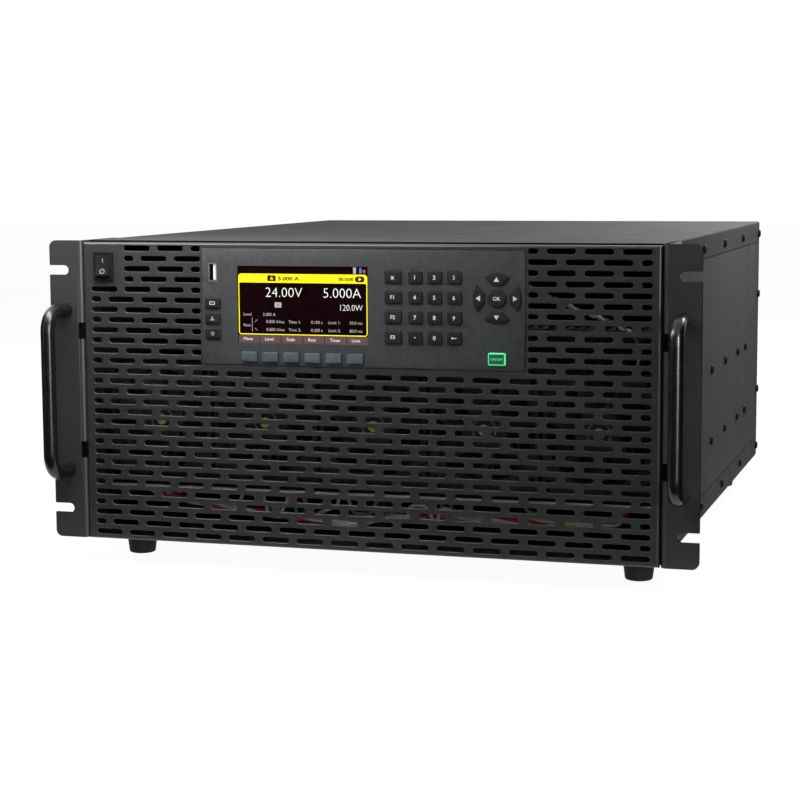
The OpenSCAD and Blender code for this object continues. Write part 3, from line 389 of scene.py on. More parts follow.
# %% [markdown]
# ## Places on one solid
# Some CAD nodes hold pieces of different materials, such as a board with its sockets. A mask in Object
# coordinates tells them apart: a value that is one between two limits along an axis. A limit that only has
# to lie outside a piece is set a little over its face, or far behind it.

# %% Define the masks
OVER = 1 * MM
FAR = 1.0


def between(made, axis, low, high):
    """One between two limits along an axis, in metres, and zero outside."""
    tree = made.node_tree
    place = tree.nodes.new("ShaderNodeTexCoord")
    split = tree.nodes.new("ShaderNodeSeparateXYZ")
    tree.links.new(place.outputs["Object"], split.inputs[0])
    above = math_node(tree, "GREATER_THAN", split.outputs[axis], low)
    below = math_node(tree, "LESS_THAN", split.outputs[axis], high)
    return math_node(tree, "MULTIPLY", above, below)


def both(made, first, second):
    """One where two masks are one."""
    return math_node(made.node_tree, "MULTIPLY", first, second)


def box_mask(made, x_range, y_range, z_range):
    """One inside a box."""
    flat = both(made, between(made, "X", *x_range), between(made, "Z", *z_range))
    return both(made, flat, between(made, "Y", *y_range))


def current(socket):
    """What a socket gets so far: its link or its plain value."""
    return socket.links[0].from_socket if socket.is_linked else socket.default_value


def recolored(made, mask, color, metallic=0.0):
    """Another colour where a mask is one, and another metallic value with it."""
    tree = made.node_tree
    base = shader_of(made).inputs["Base Color"]
    tree.links.new(color_mix(tree, mask, current(base), (*color, 1)), base)
    if metallic:
        share = math_node(tree, "MULTIPLY", mask, metallic)
        tree.links.new(share, shader_of(made).inputs["Metallic"])


def dulled(made, mask):
    """No shine where a mask is one."""
    tree = made.node_tree
    shine = shader_of(made).inputs["Specular IOR Level"]
    rest = math_node(tree, "SUBTRACT", 1, mask)
    tree.links.new(math_node(tree, "MULTIPLY", rest, current(shine)), shine)


print("Masks ready")

# %% [markdown]
# ## Sheet metal
# The case is steel sheet with a dark, finely textured powder coat. The front panel and the ears are nearly
# black. The covers are a little lighter and warmer and show faint streaks from rolling: across the top and
# upright on the sides. Stretching the noise along one axis makes the streaks. The top cover, the bottom pan
# and the rear take the side colour darkened, a painted shade that keeps the top from looking too bright
# under the lamps. The cut front edge of the cover lies in the groove behind the front panel and is painted
# black as the groove's shade, and so are the strips of the side panels that lie in the seams beside the
# cover and the pan: painted shade in the seams.

# %% Paint the case
PANEL_SHADE = (0.037, 0.037, 0.038)
EAR_SHADE = scaled(PANEL_SHADE, 1.15)
SIDE_SHADE = (0.062, 0.061, 0.057)
# Painted shade: the top, bottom and rear take the side colour darkened, so the top looks less bright under
# the lamps.
TOP_SHADE_PAINTED_DIMMER = scaled(SIDE_SHADE, 0.85)
PAINTED_SHADE = grey(0.006)
STREAK_WAVES = 60
PATCH_WAVES = 25
PATCH = 0.05
GRAIN_WAVES = 1600
GRAIN = 0.25
LIP_H = 18.5 * MM
SEAM_SHOWN = 0.8 * MM
EDGE_SHOWN = 0.05 * MM
ALONG_X = (0.06, 1, 1)
ALONG_Z = (1, 1, 0.06)


def paint(name, shade, stretch, drift, roughness, specular):
    """Textured powder coat."""
    made = principled(name, shade, roughness, specular=specular)
    drifting(made, scaled(shade, 1 - drift), scaled(shade, 1 + drift), STREAK_WAVES, stretch)
    patchy(made, roughness - PATCH, roughness + PATCH, PATCH_WAVES)
    grained(made, GRAIN_WAVES, GRAIN)
    return made


panel_paint = paint("panel_paint", PANEL_SHADE, EVEN, 0.05, 0.36, 0.4)
ear_paint = paint("ear_paint", EAR_SHADE, EVEN, 0.05, 0.36, 0.4)
top_paint = paint("top_paint", TOP_SHADE_PAINTED_DIMMER, ALONG_X, 0.05, 0.65, 0.02)
side_paint = paint("side_paint", SIDE_SHADE, ALONG_Z, 0.08, 0.72, 0.04)
groove_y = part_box("top_cover")[0].y
# Painted shade: the cut front edge of the cover, deep in the groove, is painted black.
recolored(top_paint, between(top_paint, "Y", groove_y - OVER, groove_y + EDGE_SHOWN), PAINTED_SHADE)
dress(top_paint, "top_cover", "bottom_pan", "rear_panel")
case_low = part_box("bottom_pan")[0].z
case_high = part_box("top_cover")[1].z
# Painted shade: narrow strips of the side panels along the seams with the cover and the pan are painted
# black.
recolored(side_paint, between(side_paint, "Z", case_high - LIP_H - SEAM_SHOWN, case_high), PAINTED_SHADE)
recolored(side_paint, between(side_paint, "Z", case_low, case_low + LIP_H + SEAM_SHOWN), PAINTED_SHADE)
dress(side_paint, "left_side_panel", "right_side_panel")
print("Painted 5 sheet metal pieces")

# %% [markdown]
# ## Helpers for meshes
# New pieces are built in metres at their place, and their objects stay at the origin. A piece that stands
# for a CAD node often starts as a merged copy of the node's mesh, because the CAD mesh is loose triangles.

# %% Define the mesh helpers
WELD = 0.001 * MM
SHARP = math.radians(35)
FLAT = math.radians(0.5)
FACING = Vector((0, -1, 0))
CORNER_STEPS = 5


def mesh_from(bm, name, *finishes):
    """Turns a bmesh into a mesh with its finishes."""
    mesh = bpy.data.meshes.new(name)
    bm.to_mesh(mesh)
    bm.free()
    for finish in finishes:
        mesh.materials.append(finish)
    return mesh


def shaded(mesh, name):
    """An object for a mesh, with smooth shading and sharp edges kept."""
    mesh.shade_smooth()
    mesh.set_sharp_from_angle(angle=SHARP)
    return linked(name, mesh)


def piece_from(bm, name, *finishes):
    """Turns a bmesh into a smooth-shaded object with sharp edges kept."""
    return shaded(mesh_from(bm, name, *finishes), name)


def evaluated(piece):
    """The plain mesh of an object after its modifiers."""
    depsgraph = bpy.context.evaluated_depsgraph_get()
    return bpy.data.meshes.new_from_object(piece.evaluated_get(depsgraph))


def welded(node):
    """A bmesh copy of a CAD node with its corners joined."""
    bm = bmesh.new()
    bm.from_mesh(nodes[node].data)
    bmesh.ops.remove_doubles(bm, verts=bm.verts, dist=WELD)
    return bm


def merged(node):
    """A bmesh copy of a CAD node with its triangles joined to flat faces."""
    bm = welded(node)
    bmesh.ops.dissolve_limit(bm, angle_limit=FLAT, verts=bm.verts, edges=bm.edges)
    return bm


def in_front_of(depth):
    """A test for edges that lie wholly in front of a depth."""
    return lambda edge: max(v.co.y for v in edge.verts) < depth


def rounded_edges(bm, width, segments, wanted):
    """Rounds the sharp edges that a test picks."""
    picked = [
        edge for edge in bm.edges
        if len(edge.link_faces) == 2 and edge.calc_face_angle() > SHARP and wanted(edge)
    ]
    bmesh.ops.bevel(
        bm, geom=picked, offset=width, offset_type="OFFSET", segments=segments, profile=0.5,
        affect="EDGES", clamp_overlap=True
    )
    return len(picked)


def add_mesh(bm, mesh, index):
    """Adds a mesh to a bmesh with one material index."""
    earlier = set(bm.faces)
    bm.from_mesh(mesh)
    for face in bm.faces:
        if face not in earlier:
            face.material_index = index
    bpy.data.meshes.remove(mesh)


def add_prism(bm, outline, front, back, index=0):
    """Adds an upright plate: an outline in X and Z, anticlockwise from the front, between two depths."""
    near = [bm.verts.new((x, front, z)) for x, z in outline]
    far = [bm.verts.new((x, back, z)) for x, z in outline]
    made = [bm.faces.new(near), bm.faces.new(far[::-1])]
    for i in range(len(outline)):
        j = (i + 1) % len(outline)
        made.append(bm.faces.new((near[j], near[i], far[i], far[j])))
    for face in made:
        face.material_index = index


def add_frame(bm, outer, inner, front, back, index=0):
    """Adds an upright frame between two outlines with the same number of points."""
    rings = [
        [bm.verts.new((x, y, z)) for x, z in outline]
        for outline, y in ((outer, front), (inner, front), (inner, back), (outer, back))
    ]
    for ring, following in zip(rings, rings[1:] + rings[:1]):
        for i in range(len(outer)):
            j = (i + 1) % len(outer)
            face = bm.faces.new((ring[i], ring[j], following[j], following[i]))
            face.material_index = index


def box_outline(x, z, width, height, radius=0.0):
    """Rectangle round a middle, with round corners if a radius is given."""
    half_w = width / 2
    half_h = height / 2
    if radius == 0:
        return [(x + sx * half_w, z + sz * half_h) for sx, sz in ((-1, -1), (1, -1), (1, 1), (-1, 1))]
    points = []
    for quarter, (sx, sz) in enumerate(((1, 1), (-1, 1), (-1, -1), (1, -1))):
        for step in range(CORNER_STEPS + 1):
            angle = math.pi / 2 * (quarter + step / CORNER_STEPS)
            across = x + sx * (half_w - radius) + radius * math.cos(angle)
            points.append((across, z + sz * (half_h - radius) + radius * math.sin(angle)))
    return points


def unit_circle(sides):
    """Points round a circle of radius one."""
    angles = [2 * math.pi * i / sides for i in range(sides)]
    return [(math.cos(angle), math.sin(angle)) for angle in angles]


def stand_for(piece, node):
    """Lets a piece ride on a CAD node's body in the node's place."""
    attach(piece, body_of_node[node])
    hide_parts(node)


def add_to(piece, body):
    """Lets a new piece ride on a body."""
    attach(piece, body)


print("Mesh helpers ready")

# %% [markdown]
# ## Front panel
# The front is a punched sheet with about five hundred slots. The coat rounds their rims, and the lower rim
# of each slot catches the light from above as a fine line. A bevel tool is slow on so many holes, so the
# rims are opened by hand: the sheet's face steps back from the hole, the wall steps back from the face, and
# a round joins them.

# %% Round the slot rims
RIM_R = 0.55 * MM
RIM_STEPS = 3
WALL_TILT = 0.1
FACE_TILT = -0.5


def spot_key(point):
    """A name for a place that survives rounding."""
    return (round(point.x / WELD), round(point.z / WELD))


def rounded_rims(bm, front, radius, steps):
    """Rounds the front rims of all holes in an upright sheet."""
    rims = []
    inward = {}
    for edge in bm.edges:
        if len(edge.link_faces) != 2 or max(abs(v.co.y - front) for v in edge.verts) > WELD:
            continue
        walls = [face.normal for face in edge.link_faces if abs(face.normal.y) < WALL_TILT]
        if len(walls) != 1:
            continue
        keys = [spot_key(v.co) for v in edge.verts]
        rims.append((edge, keys))
        for key in keys:
            inward[key] = inward.get(key, Vector()) + walls[0]
    bmesh.ops.split_edges(bm, edges=[edge for edge, _ in rims])
    rows = {key: [None] * (steps + 1) for key in inward}
    for vertex in list(bm.verts):
        key = spot_key(vertex.co)
        if abs(vertex.co.y - front) > WELD or key not in rows:
            continue
        on_face = any(face.normal.y < FACE_TILT for face in vertex.link_faces)
        rows[key][0 if on_face else steps] = vertex
    for key, row in rows.items():
        into = inward[key].normalized()
        corner = row[0].co.copy()
        for step in range(steps + 1):
            angle = math.pi / 2 * step / steps
            place = corner + into * radius * (math.sin(angle) - 1) - FACING * radius * (1 - math.cos(angle))
            if row[step] is None:
                row[step] = bm.verts.new(place)
            row[step].co = place
    for _, (first, second) in rims:
        ahead = inward[first].normalized() + FACING
        for step in range(steps):
            corners = (rows[first][step], rows[second][step], rows[second][step + 1], rows[first][step + 1])
            face = bm.faces.new(corners)
            face.normal_update()
            if face.normal.dot(ahead) < 0:
                face.normal_flip()
    return len(rims)


sheet_bm = welded("front_panel")
rim_count = rounded_rims(sheet_bm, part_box("front_panel")[0].y, RIM_R, RIM_STEPS)
for face in sheet_bm.faces:
    face.smooth = False
sheet = linked("front_sheet", mesh_from(sheet_bm, "front_sheet", panel_paint))
stand_for(sheet, "front_panel")
print("Rounded", rim_count, "rim edges")

# %% [markdown]
# ## Rack ears
# An ear is a bracket of thick sheet with one bend beside the front panel. Two short, shallow notches cross
# the bend. A Boolean cuts them from a merged copy of the CAD solid. The notches and the cut edges of the
# sheet get no clear light on the real ear, so masks paint them dark and dull: painted shade.

# %% Notch the ears
NOTCH_W = 4.4 * MM
NOTCH_H = 12.2 * MM
NOTCH_DEEP = 2.6 * MM
NOTCH_LEVELS = (172.9 * MM, 84.4 * MM)
FACE_LIP = 0.05 * MM
EAR_BEND = 4.6 * MM


def carved(piece, cutter_bm):
    """Cuts a bmesh out of a piece and gives back the rest as a plain mesh."""
    cutter = piece_from(cutter_bm, "cutter")
    cut = piece.modifiers.new("cut", "BOOLEAN")
    cut.object = cutter
    cut.use_self = True
    mesh = evaluated(piece)
    bpy.data.objects.remove(cutter)
    bpy.data.objects.remove(piece)
    return mesh


def darkened(made, mask):
    """Painted shade: dark and dull where a mask is one."""
    recolored(made, mask, PAINTED_SHADE)
    dulled(made, mask)


for name, side in (("left_rack_ear", -1), ("right_rack_ear", 1)):
    low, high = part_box(name)
    inner_x = high.x if side < 0 else low.x
    behind_face = low.y + FACE_LIP
    notch_bm = bmesh.new()
    for level in NOTCH_LEVELS:
        across = inner_x + side * (NOTCH_W - OVER) / 2
        size = Matrix.Diagonal((NOTCH_W + OVER, NOTCH_DEEP + OVER, NOTCH_H, 1))
        spot = Matrix.Translation((across, low.y + (NOTCH_DEEP - OVER) / 2, level))
        bmesh.ops.create_cube(notch_bm, size=1, matrix=spot @ size)
        reach = sorted((inner_x - side * OVER, inner_x + side * (NOTCH_W + WELD)))
        height = (level - NOTCH_H / 2 - WELD, level + NOTCH_H / 2 + WELD)
        # Painted shade: the notch is painted dark and dull.
        darkened(ear_paint, box_mask(ear_paint, reach, (behind_face, low.y + NOTCH_DEEP + WELD), height))
    rim = sorted((inner_x + side * EAR_BEND, inner_x + side * (high.x - low.x + OVER)))
    whole_x = (low.x - OVER, high.x + OVER)
    whole_z = (low.z - OVER, high.z + OVER)
    top_z = (high.z - FACE_LIP, high.z + OVER)
    # Painted shade: the cut edges and the top edge of the ear are painted dark and dull.
    cut_edges = box_mask(ear_paint, rim, (behind_face, high.y), whole_z)
    top_edge = box_mask(ear_paint, whole_x, (behind_face, high.y + OVER), top_z)
    for mask in (cut_edges, top_edge):
        darkened(ear_paint, mask)
    bracket = piece_from(merged(name), f"{name}_blank", ear_paint)
    ear = shaded(carved(bracket, notch_bm), f"{name}_bracket")
    stand_for(ear, name)
print("Cut", 2 * len(NOTCH_LEVELS), "notches")

# %% [markdown]
# ## Printed marks
# The digits and arrows are thin prints on the keys. Text becomes a mesh before it is placed, and the place
# comes from a ray shot at the key, so a mark lies on the face that carries it, also on the sloped rocker.

# %% Define the print helpers
PRINT_T = 0.04 * MM
CAP_SHARE = 0.72
LETTER_STEPS = 3
RING_SIDES = 28
ARROW_HEAD = ((0.5, 0), (-0.4, 0.55), (-0.4, -0.55))


def seat(node, x, z):
    """The point on a CAD node's front at one place, and the way the surface faces there."""
    start = Vector((x, CAD_LOW.y - FAR, z))
    hit, place, normal, _ = nodes[node].ray_cast(start, -FACING)
    return (place, normal) if hit else (Vector((x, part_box(node)[0].y, z)), FACING)


def settle(mesh, place, normal):
    """Moves a mark that was drawn at the origin, facing the front, to its seat."""
    turn = FACING.rotation_difference(normal).to_matrix().to_4x4()
    mesh.transform(Matrix.Translation(place) @ turn)
    return mesh


def lettering(text, height, bold=0.0):
    """Letters of one height, standing upright and centred on the origin."""
    curve = bpy.data.curves.new("letters", "FONT")
    curve.body = text
    curve.size = height / CAP_SHARE
    curve.align_x = "CENTER"
    curve.extrude = PRINT_T
    curve.offset = bold * height
    curve.resolution_u = LETTER_STEPS
    letters = linked("letters", curve)
    mesh = evaluated(letters)
    bpy.data.objects.remove(letters)
    bpy.data.curves.remove(curve)
    mesh.transform(Matrix.Rotation(math.pi / 2, 4, "X") @ Matrix.Translation((0, -height / 2, 0)))
    return mesh


def shape_mesh(*outlines):
    """Flat printed shapes round the origin."""
    bm = bmesh.new()
    for outline in outlines:
        add_prism(bm, outline, -PRINT_T, PRINT_T)
    return mesh_from(bm, "mark")


def ring_mesh(radius, width):
    """A flat printed ring round the origin."""
    circle = unit_circle(RING_SIDES)
    bm = bmesh.new()
    outer = [((radius + width / 2) * x, (radius + width / 2) * z) for x, z in circle]
    inner = [((radius - width / 2) * x, (radius - width / 2) * z) for x, z in circle]
    add_frame(bm, outer, inner, -PRINT_T, PRINT_T)
    return mesh_from(bm, "mark")


def triangle(size, turn):
    """A printed arrow that points right, turned by an angle."""
    across = Vector((math.cos(turn), math.sin(turn))) * size
    upward = Vector((-math.sin(turn), math.cos(turn))) * size
    return shape_mesh([tuple(across * x + upward * z) for x, z in ARROW_HEAD])


print("Print helpers ready")

# %% [markdown]
# ## Keys
# Each key is a moulded cap that stands a little proud of the control panel. A merged copy of the CAD solid
# gets its front rim rounded, which is what makes a key look soft, and its mark is joined to it as a second
# material.

# %% Make the finishes of the keys
KEY_SHADE = (0.016, 0.016, 0.017)
SOFT_KEY_SHADE = (0.09, 0.105, 0.116)
WHITE_PRINT_SHADE = grey(0.8)
GREY_PRINT_SHADE = grey(0.3)
MOULD_WAVES = 300
MOULD_GRAIN_WAVES = 3000
MOULD_GRAIN = 0.2


def moulded(name, shade, roughness):
    """Moulded plastic with a fine spark-eroded grain."""
    made = principled(name, shade, roughness, specular=0.2)
    drifting(made, scaled(shade, 0.9), scaled(shade, 1.1), MOULD_WAVES)
    grained(made, MOULD_GRAIN_WAVES, MOULD_GRAIN)
    return made


key_plastic = moulded("key_plastic", KEY_SHADE, 0.5)
soft_key_plastic = moulded("soft_key_plastic", SOFT_KEY_SHADE, 0.45)
white_print = moulded("white_print", WHITE_PRINT_SHADE, 0.6)
grey_print = moulded("grey_print", GREY_PRINT_SHADE, 0.6)
print("Key finishes ready")

# %% Draw the marks of the keys
DIGIT_H = 2.9 * MM
LETTER_H = 2.6 * MM
CROSS_H = 3.2 * MM
BOLD = 0.03
ARROW_SIZE = 3.6 * MM
POINT_R = 0.25 * MM
POINT_W = 0.5 * MM
WHEEL_R = 1.1 * MM
WHEEL_W = 0.35 * MM
LEGENDS = {f"number_key_{digit}": (str(digit), DIGIT_H) for digit in range(10)}
LEGENDS.update({f"shortcut_key_{i}": (f"F{i}", LETTER_H) for i in range(1, 4)})
LEGENDS.update({"enter_key": ("OK", LETTER_H), "escape_key": ("x", CROSS_H)})
TURNS = {"right_key": 0, "up_key": math.pi / 2, "left_key": math.pi, "down_key": -math.pi / 2}
RINGS = {"point_key": (POINT_R, POINT_W), "utility_key": (WHEEL_R, WHEEL_W)}
# Bars have a middle, a width and a height. They and the corners of arrow heads are in millimetres.
BARS = {
    "display_key": ((0, 0.9, 3.4, 0.4), (0, -0.9, 3.4, 0.4), (-1.9, 0, 0.4, 2.2), (1.9, 0, 0.4, 2.2)),
    "save_key": ((0, -1.1, 3.4, 0.45), (0, 0.5, 0.45, 1.6)),
    "backspace_key": ((0.7, 0, 2.4, 0.6),),
}
HEADS = {
    "save_key": ((-0.9, 0.3), (0, -0.6), (0.9, 0.3)),
    "backspace_key": ((-2, 0), (-0.7, -1), (-0.7, 1)),
}


def mark_of(node):
    """The printed mark of one key, drawn round the origin."""
    if node in LEGENDS:
        return lettering(*LEGENDS[node], BOLD)
    if node in TURNS:
        return triangle(ARROW_SIZE, TURNS[node])
    if node in RINGS:
        return ring_mesh(*RINGS[node])
    outlines = [box_outline(x * MM, z * MM, width * MM, height * MM) for x, z, width, height in BARS[node]]
    if node in HEADS:
        outlines.append([(x * MM, z * MM) for x, z in HEADS[node]])
    return shape_mesh(*outlines)


print("Marks for", len(LEGENDS) + len(TURNS) + len(RINGS) + len(BARS), "keys")

# %% Make the caps with their marks
RIM = 0.45 * MM
RIM_SEGMENTS = 3


def key_cap(node, finish, print_finish):
    """A key with a round front rim and its mark, in the place of its CAD node."""
    bm = merged(node)
    low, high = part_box(node)
    rounded_edges(bm, RIM, RIM_SEGMENTS, in_front_of(low.y + WELD))
    if not node.startswith("soft"):
        place, normal = seat(node, (low.x + high.x) / 2, (low.z + high.z) / 2)
        add_mesh(bm, settle(mark_of(node), place, normal), 1)
    cap = piece_from(bm, f"{node}_cap", finish, print_finish)
    stand_for(cap, node)


KEYS = [name for name in nodes if name.endswith("_key") or "_key_" in name]
for name in KEYS:
    if name.startswith("soft"):
        key_cap(name, soft_key_plastic, grey_print)
    elif name != "load_key":
        key_cap(name, key_plastic, white_print)
print("Made", len(KEYS) - 1, "key caps")

# %% [markdown]
# ## The lit key
# The key that switches the load is clear plastic with a lamp behind it. Its rim glows green, and a dark film
# on its face leaves only the small letters and the border bright.

# %% Make the lit key
GLOW_SHADE = (0.1, 0.86, 0.36)
FILM_SHADE = (0.01, 0.09, 0.04)
LIT_PRINT_SHADE = (0.2, 0.8, 0.45)
LIT_WAVES = 400
LIT_SPAN = (0, 1)
FILM_IN = 0.75 * MM
FILM_R = 0.5 * MM
LIT_LETTER_H = 1.7 * MM


def glowing(name, shade):
    """Lit plastic whose light varies a little over the surface."""
    made = principled(name, scaled(shade, 0.3), 0.35)
    shader = shader_of(made)
    light = ramped(made, noise(made, LIT_WAVES), scaled(shade, 0.8), shade, LIT_SPAN)
    made.node_tree.links.new(light, shader.inputs["Emission Color"])
    shader.inputs["Emission Strength"].default_value = 1
    return made


lit_plastic = glowing("lit_plastic", GLOW_SHADE)
lit_film = glowing("lit_film", FILM_SHADE)
lit_print = glowing("lit_print", LIT_PRINT_SHADE)

low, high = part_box("load_key")
middle = (low + high) / 2
cap_bm = merged("load_key")
face_points = [v.co.copy() for v in cap_bm.verts if v.co.y < low.y + WELD]
face_w = max(p.x for p in face_points) - min(p.x for p in face_points)
face_h = max(p.z for p in face_points) - min(p.z for p in face_points)
rounded_edges(cap_bm, RIM, RIM_SEGMENTS, in_front_of(low.y + WELD))
film = box_outline(middle.x, middle.z, face_w - 2 * FILM_IN, face_h - 2 * FILM_IN, FILM_R)
add_prism(cap_bm, film, low.y - PRINT_T, low.y + PRINT_T, 1)
place = Vector((middle.x, low.y - PRINT_T, middle.z))
add_mesh(cap_bm, settle(lettering("ON/OFF", LIT_LETTER_H), place, FACING), 2)
load_cap = piece_from(cap_bm, "load_key_cap", lit_plastic, lit_film, lit_print)
stand_for(load_cap, "load_key")
print("Lit key of", round(face_w / MM, 1), "by", round(face_h / MM, 1), "mm")

# %% [markdown]
# ## Control panel
# The control panel is a moulded plate with a matt overlay. Its outer edge stands half a millimetre proud and
# catches the light as a thin line, so that edge is rounded on a merged copy of the CAD solid.

# %% Make the control panel
PLATE_SHADE = (0.056, 0.0575, 0.06)
PLATE_RIM = 1.2 * MM
PLATE_ROUND = 0.3 * MM
PLATE_SEGMENTS = 2

overlay = moulded("overlay", PLATE_SHADE, 0.42)
patchy(overlay, 0.36, 0.46, 40)
plate_low, plate_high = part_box("control_panel")
plate_bm = merged("control_panel")


def on_plate_edge(edge):
    """True for the outer edges of the plate's front."""
    outside = [
        min(v.co.x - plate_low.x, plate_high.x - v.co.x, v.co.z - plate_low.z, plate_high.z - v.co.z)
        for v in edge.verts
    ]
    return in_front_of(plate_low.y + WELD)(edge) and max(outside) < PLATE_RIM + WELD


edge_count = rounded_edges(plate_bm, PLATE_ROUND, PLATE_SEGMENTS, on_plate_edge)
plate = piece_from(plate_bm, "control_plate", overlay)
stand_for(plate, "control_panel")
print("Control plate with", edge_count, "rounded edges")

# %% [markdown]
# ## Helpers for Geometry Nodes
# Things that repeat, such as screws and feet, and things that follow a path, such as handles and wires, are
# made by small node trees. A tree runs once on a carrier mesh, its result becomes a plain mesh, and the
# carrier goes away.

# %% Define the tree helpers
FILLET_STEPS = 14
PATH_STEP = 1.5 * MM


def new_tree(name, sockets):
    """A geometry tree with named inputs, with its first and its last node."""
    tree = bpy.data.node_groups.new(name, "GeometryNodeTree")
    tree.interface.new_socket("Geometry", in_out="INPUT", socket_type="NodeSocketGeometry")
    for label, kind in sockets.items():
        tree.interface.new_socket(label, in_out="INPUT", socket_type=kind)
    tree.interface.new_socket("Geometry", in_out="OUTPUT", socket_type="NodeSocketGeometry")
    return tree, tree.nodes.new("NodeGroupInput"), tree.nodes.new("NodeGroupOutput")


def run_tree(tree, carrier, values):
    """Runs a tree on a carrier mesh and gives back a plain mesh."""
    host = linked("carrier", carrier)
    modifier = host.modifiers.new(tree.name, "NODES")
    modifier.node_group = tree
    for item in tree.interface.items_tree:
        if item.item_type == "SOCKET" and item.in_out == "INPUT" and item.name in values:
            modifier[item.identifier] = values[item.name]
    mesh = evaluated(host)
    host.modifiers.remove(modifier)
    bpy.data.objects.remove(host)
    bpy.data.meshes.remove(carrier)
    return mesh


def chain(tree, *steps):
    """Links the first output of each node to a named input of the next one."""
    for (node, _), (following, socket) in zip(steps, steps[1:]):
        tree.links.new(node.outputs[0], following.inputs[socket])


def path_tree():
    """Sweeps a round bar along a path with round corners, and can wind it round that path."""
    sockets = {label: "NodeSocketFloat" for label in ("Radius", "Bend", "Wind", "Pitch", "Phase")}
    sockets.update({"Sides": "NodeSocketInt", "Finish": "NodeSocketMaterial"})
    tree, first, last = new_tree("swept_bar", sockets)
    curve = tree.nodes.new("GeometryNodeMeshToCurve")
    fillet = tree.nodes.new("GeometryNodeFilletCurve")
    fillet.mode = "POLY"
    fillet.inputs["Count"].default_value = FILLET_STEPS
    fillet.inputs["Limit Radius"].default_value = True
    even = tree.nodes.new("GeometryNodeResampleCurve")
    even.mode = "LENGTH"
    even.inputs["Length"].default_value = PATH_STEP
    wind = tree.nodes.new("GeometryNodeSetPosition")
    sweep = tree.nodes.new("GeometryNodeCurveToMesh")
    sweep.inputs["Fill Caps"].default_value = True
    circle = tree.nodes.new("GeometryNodeCurvePrimitiveCircle")
    real = tree.nodes.new("GeometryNodeRealizeInstances")
    finish = tree.nodes.new("GeometryNodeSetMaterial")
    along = tree.nodes.new("GeometryNodeSplineParameter")
    turns = math_node(tree, "DIVIDE", along.outputs["Length"], first.outputs["Pitch"])
    angle = math_node(tree, "MULTIPLY_ADD", turns, 2 * math.pi, first.outputs["Phase"])
    offset = tree.nodes.new("ShaderNodeCombineXYZ")
    for operation, axis in (("COSINE", "Y"), ("SINE", "Z")):
        wave = math_node(tree, operation, angle)
        reach = math_node(tree, "MULTIPLY", wave, first.outputs["Wind"])
        tree.links.new(reach, offset.inputs[axis])
    tree.links.new(first.outputs["Bend"], fillet.inputs["Radius"])
    tree.links.new(offset.outputs[0], wind.inputs["Offset"])
    tree.links.new(first.outputs["Radius"], circle.inputs["Radius"])
    tree.links.new(first.outputs["Sides"], circle.inputs["Resolution"])
    tree.links.new(circle.outputs[0], sweep.inputs["Profile Curve"])
    tree.links.new(first.outputs["Finish"], finish.inputs["Material"])
    chain(
        tree, (first, ""), (curve, "Mesh"), (fillet, "Curve"), (even, "Curve"), (wind, "Geometry"),
        (sweep, "Curve"), (real, "Geometry"), (finish, "Geometry"), (last, 0)
    )
    return tree


def pattern_tree():
    """Sets one source piece on every point, along the point's own axis and at its own size."""
    tree, first, last = new_tree("set_pieces", {"Source": "NodeSocketObject", "Finish": "NodeSocketMaterial"})
    source = tree.nodes.new("GeometryNodeObjectInfo")
    axis = tree.nodes.new("GeometryNodeInputNamedAttribute")
    axis.data_type = "FLOAT_VECTOR"
    axis.inputs["Name"].default_value = "axis"
    size = tree.nodes.new("GeometryNodeInputNamedAttribute")
    size.inputs["Name"].default_value = "size"
    turn = tree.nodes.new("FunctionNodeAlignRotationToVector")
    turn.axis = "Z"
    copies = tree.nodes.new("GeometryNodeInstanceOnPoints")
    real = tree.nodes.new("GeometryNodeRealizeInstances")
    finish = tree.nodes.new("GeometryNodeSetMaterial")
    tree.links.new(first.outputs["Source"], source.inputs["Object"])
    tree.links.new(source.outputs["Geometry"], copies.inputs["Instance"])
    tree.links.new(axis.outputs["Attribute"], turn.inputs["Vector"])
    tree.links.new(turn.outputs["Rotation"], copies.inputs["Rotation"])
    tree.links.new(size.outputs["Attribute"], copies.inputs["Scale"])
    tree.links.new(first.outputs["Finish"], finish.inputs["Material"])
    chain(tree, (first, ""), (copies, "Points"), (real, "Geometry"), (finish, "Geometry"), (last, 0))
    return tree


SWEEP = path_tree()
PATTERN = pattern_tree()
print("Trees ready:", SWEEP.name, PATTERN.name)

# %% Define what runs the trees


def path_mesh(points):
    """A line of edges through points, as the carrier of a sweep."""
    mesh = bpy.data.meshes.new("path")
    mesh.from_pydata(points, [(i, i + 1) for i in range(len(points) - 1)], [])
    return mesh


def swept(points, radius, bend, finish, wind=0.0, pitch=0.01, phase=0.0, sides=12):
    """The mesh of a round bar along a path."""
    values = {"Radius": radius, "Bend": bend, "Wind": wind, "Pitch": pitch, "Phase": phase, "Sides": sides}
    values["Finish"] = finish
    return run_tree(SWEEP, path_mesh(points), values)


def patterned(source, places, axes, sizes, finish):
    """The mesh of one source piece set on many places."""
    carrier = bpy.data.meshes.new("points")
    carrier.from_pydata(places, [], [])
    along = carrier.attributes.new("axis", "FLOAT_VECTOR", "POINT")
    along.data.foreach_set("vector", [value for axis in axes for value in axis])
    scale = carrier.attributes.new("size", "FLOAT", "POINT")
    scale.data.foreach_set("value", sizes)
    return run_tree(PATTERN, carrier, {"Source": source, "Finish": finish})


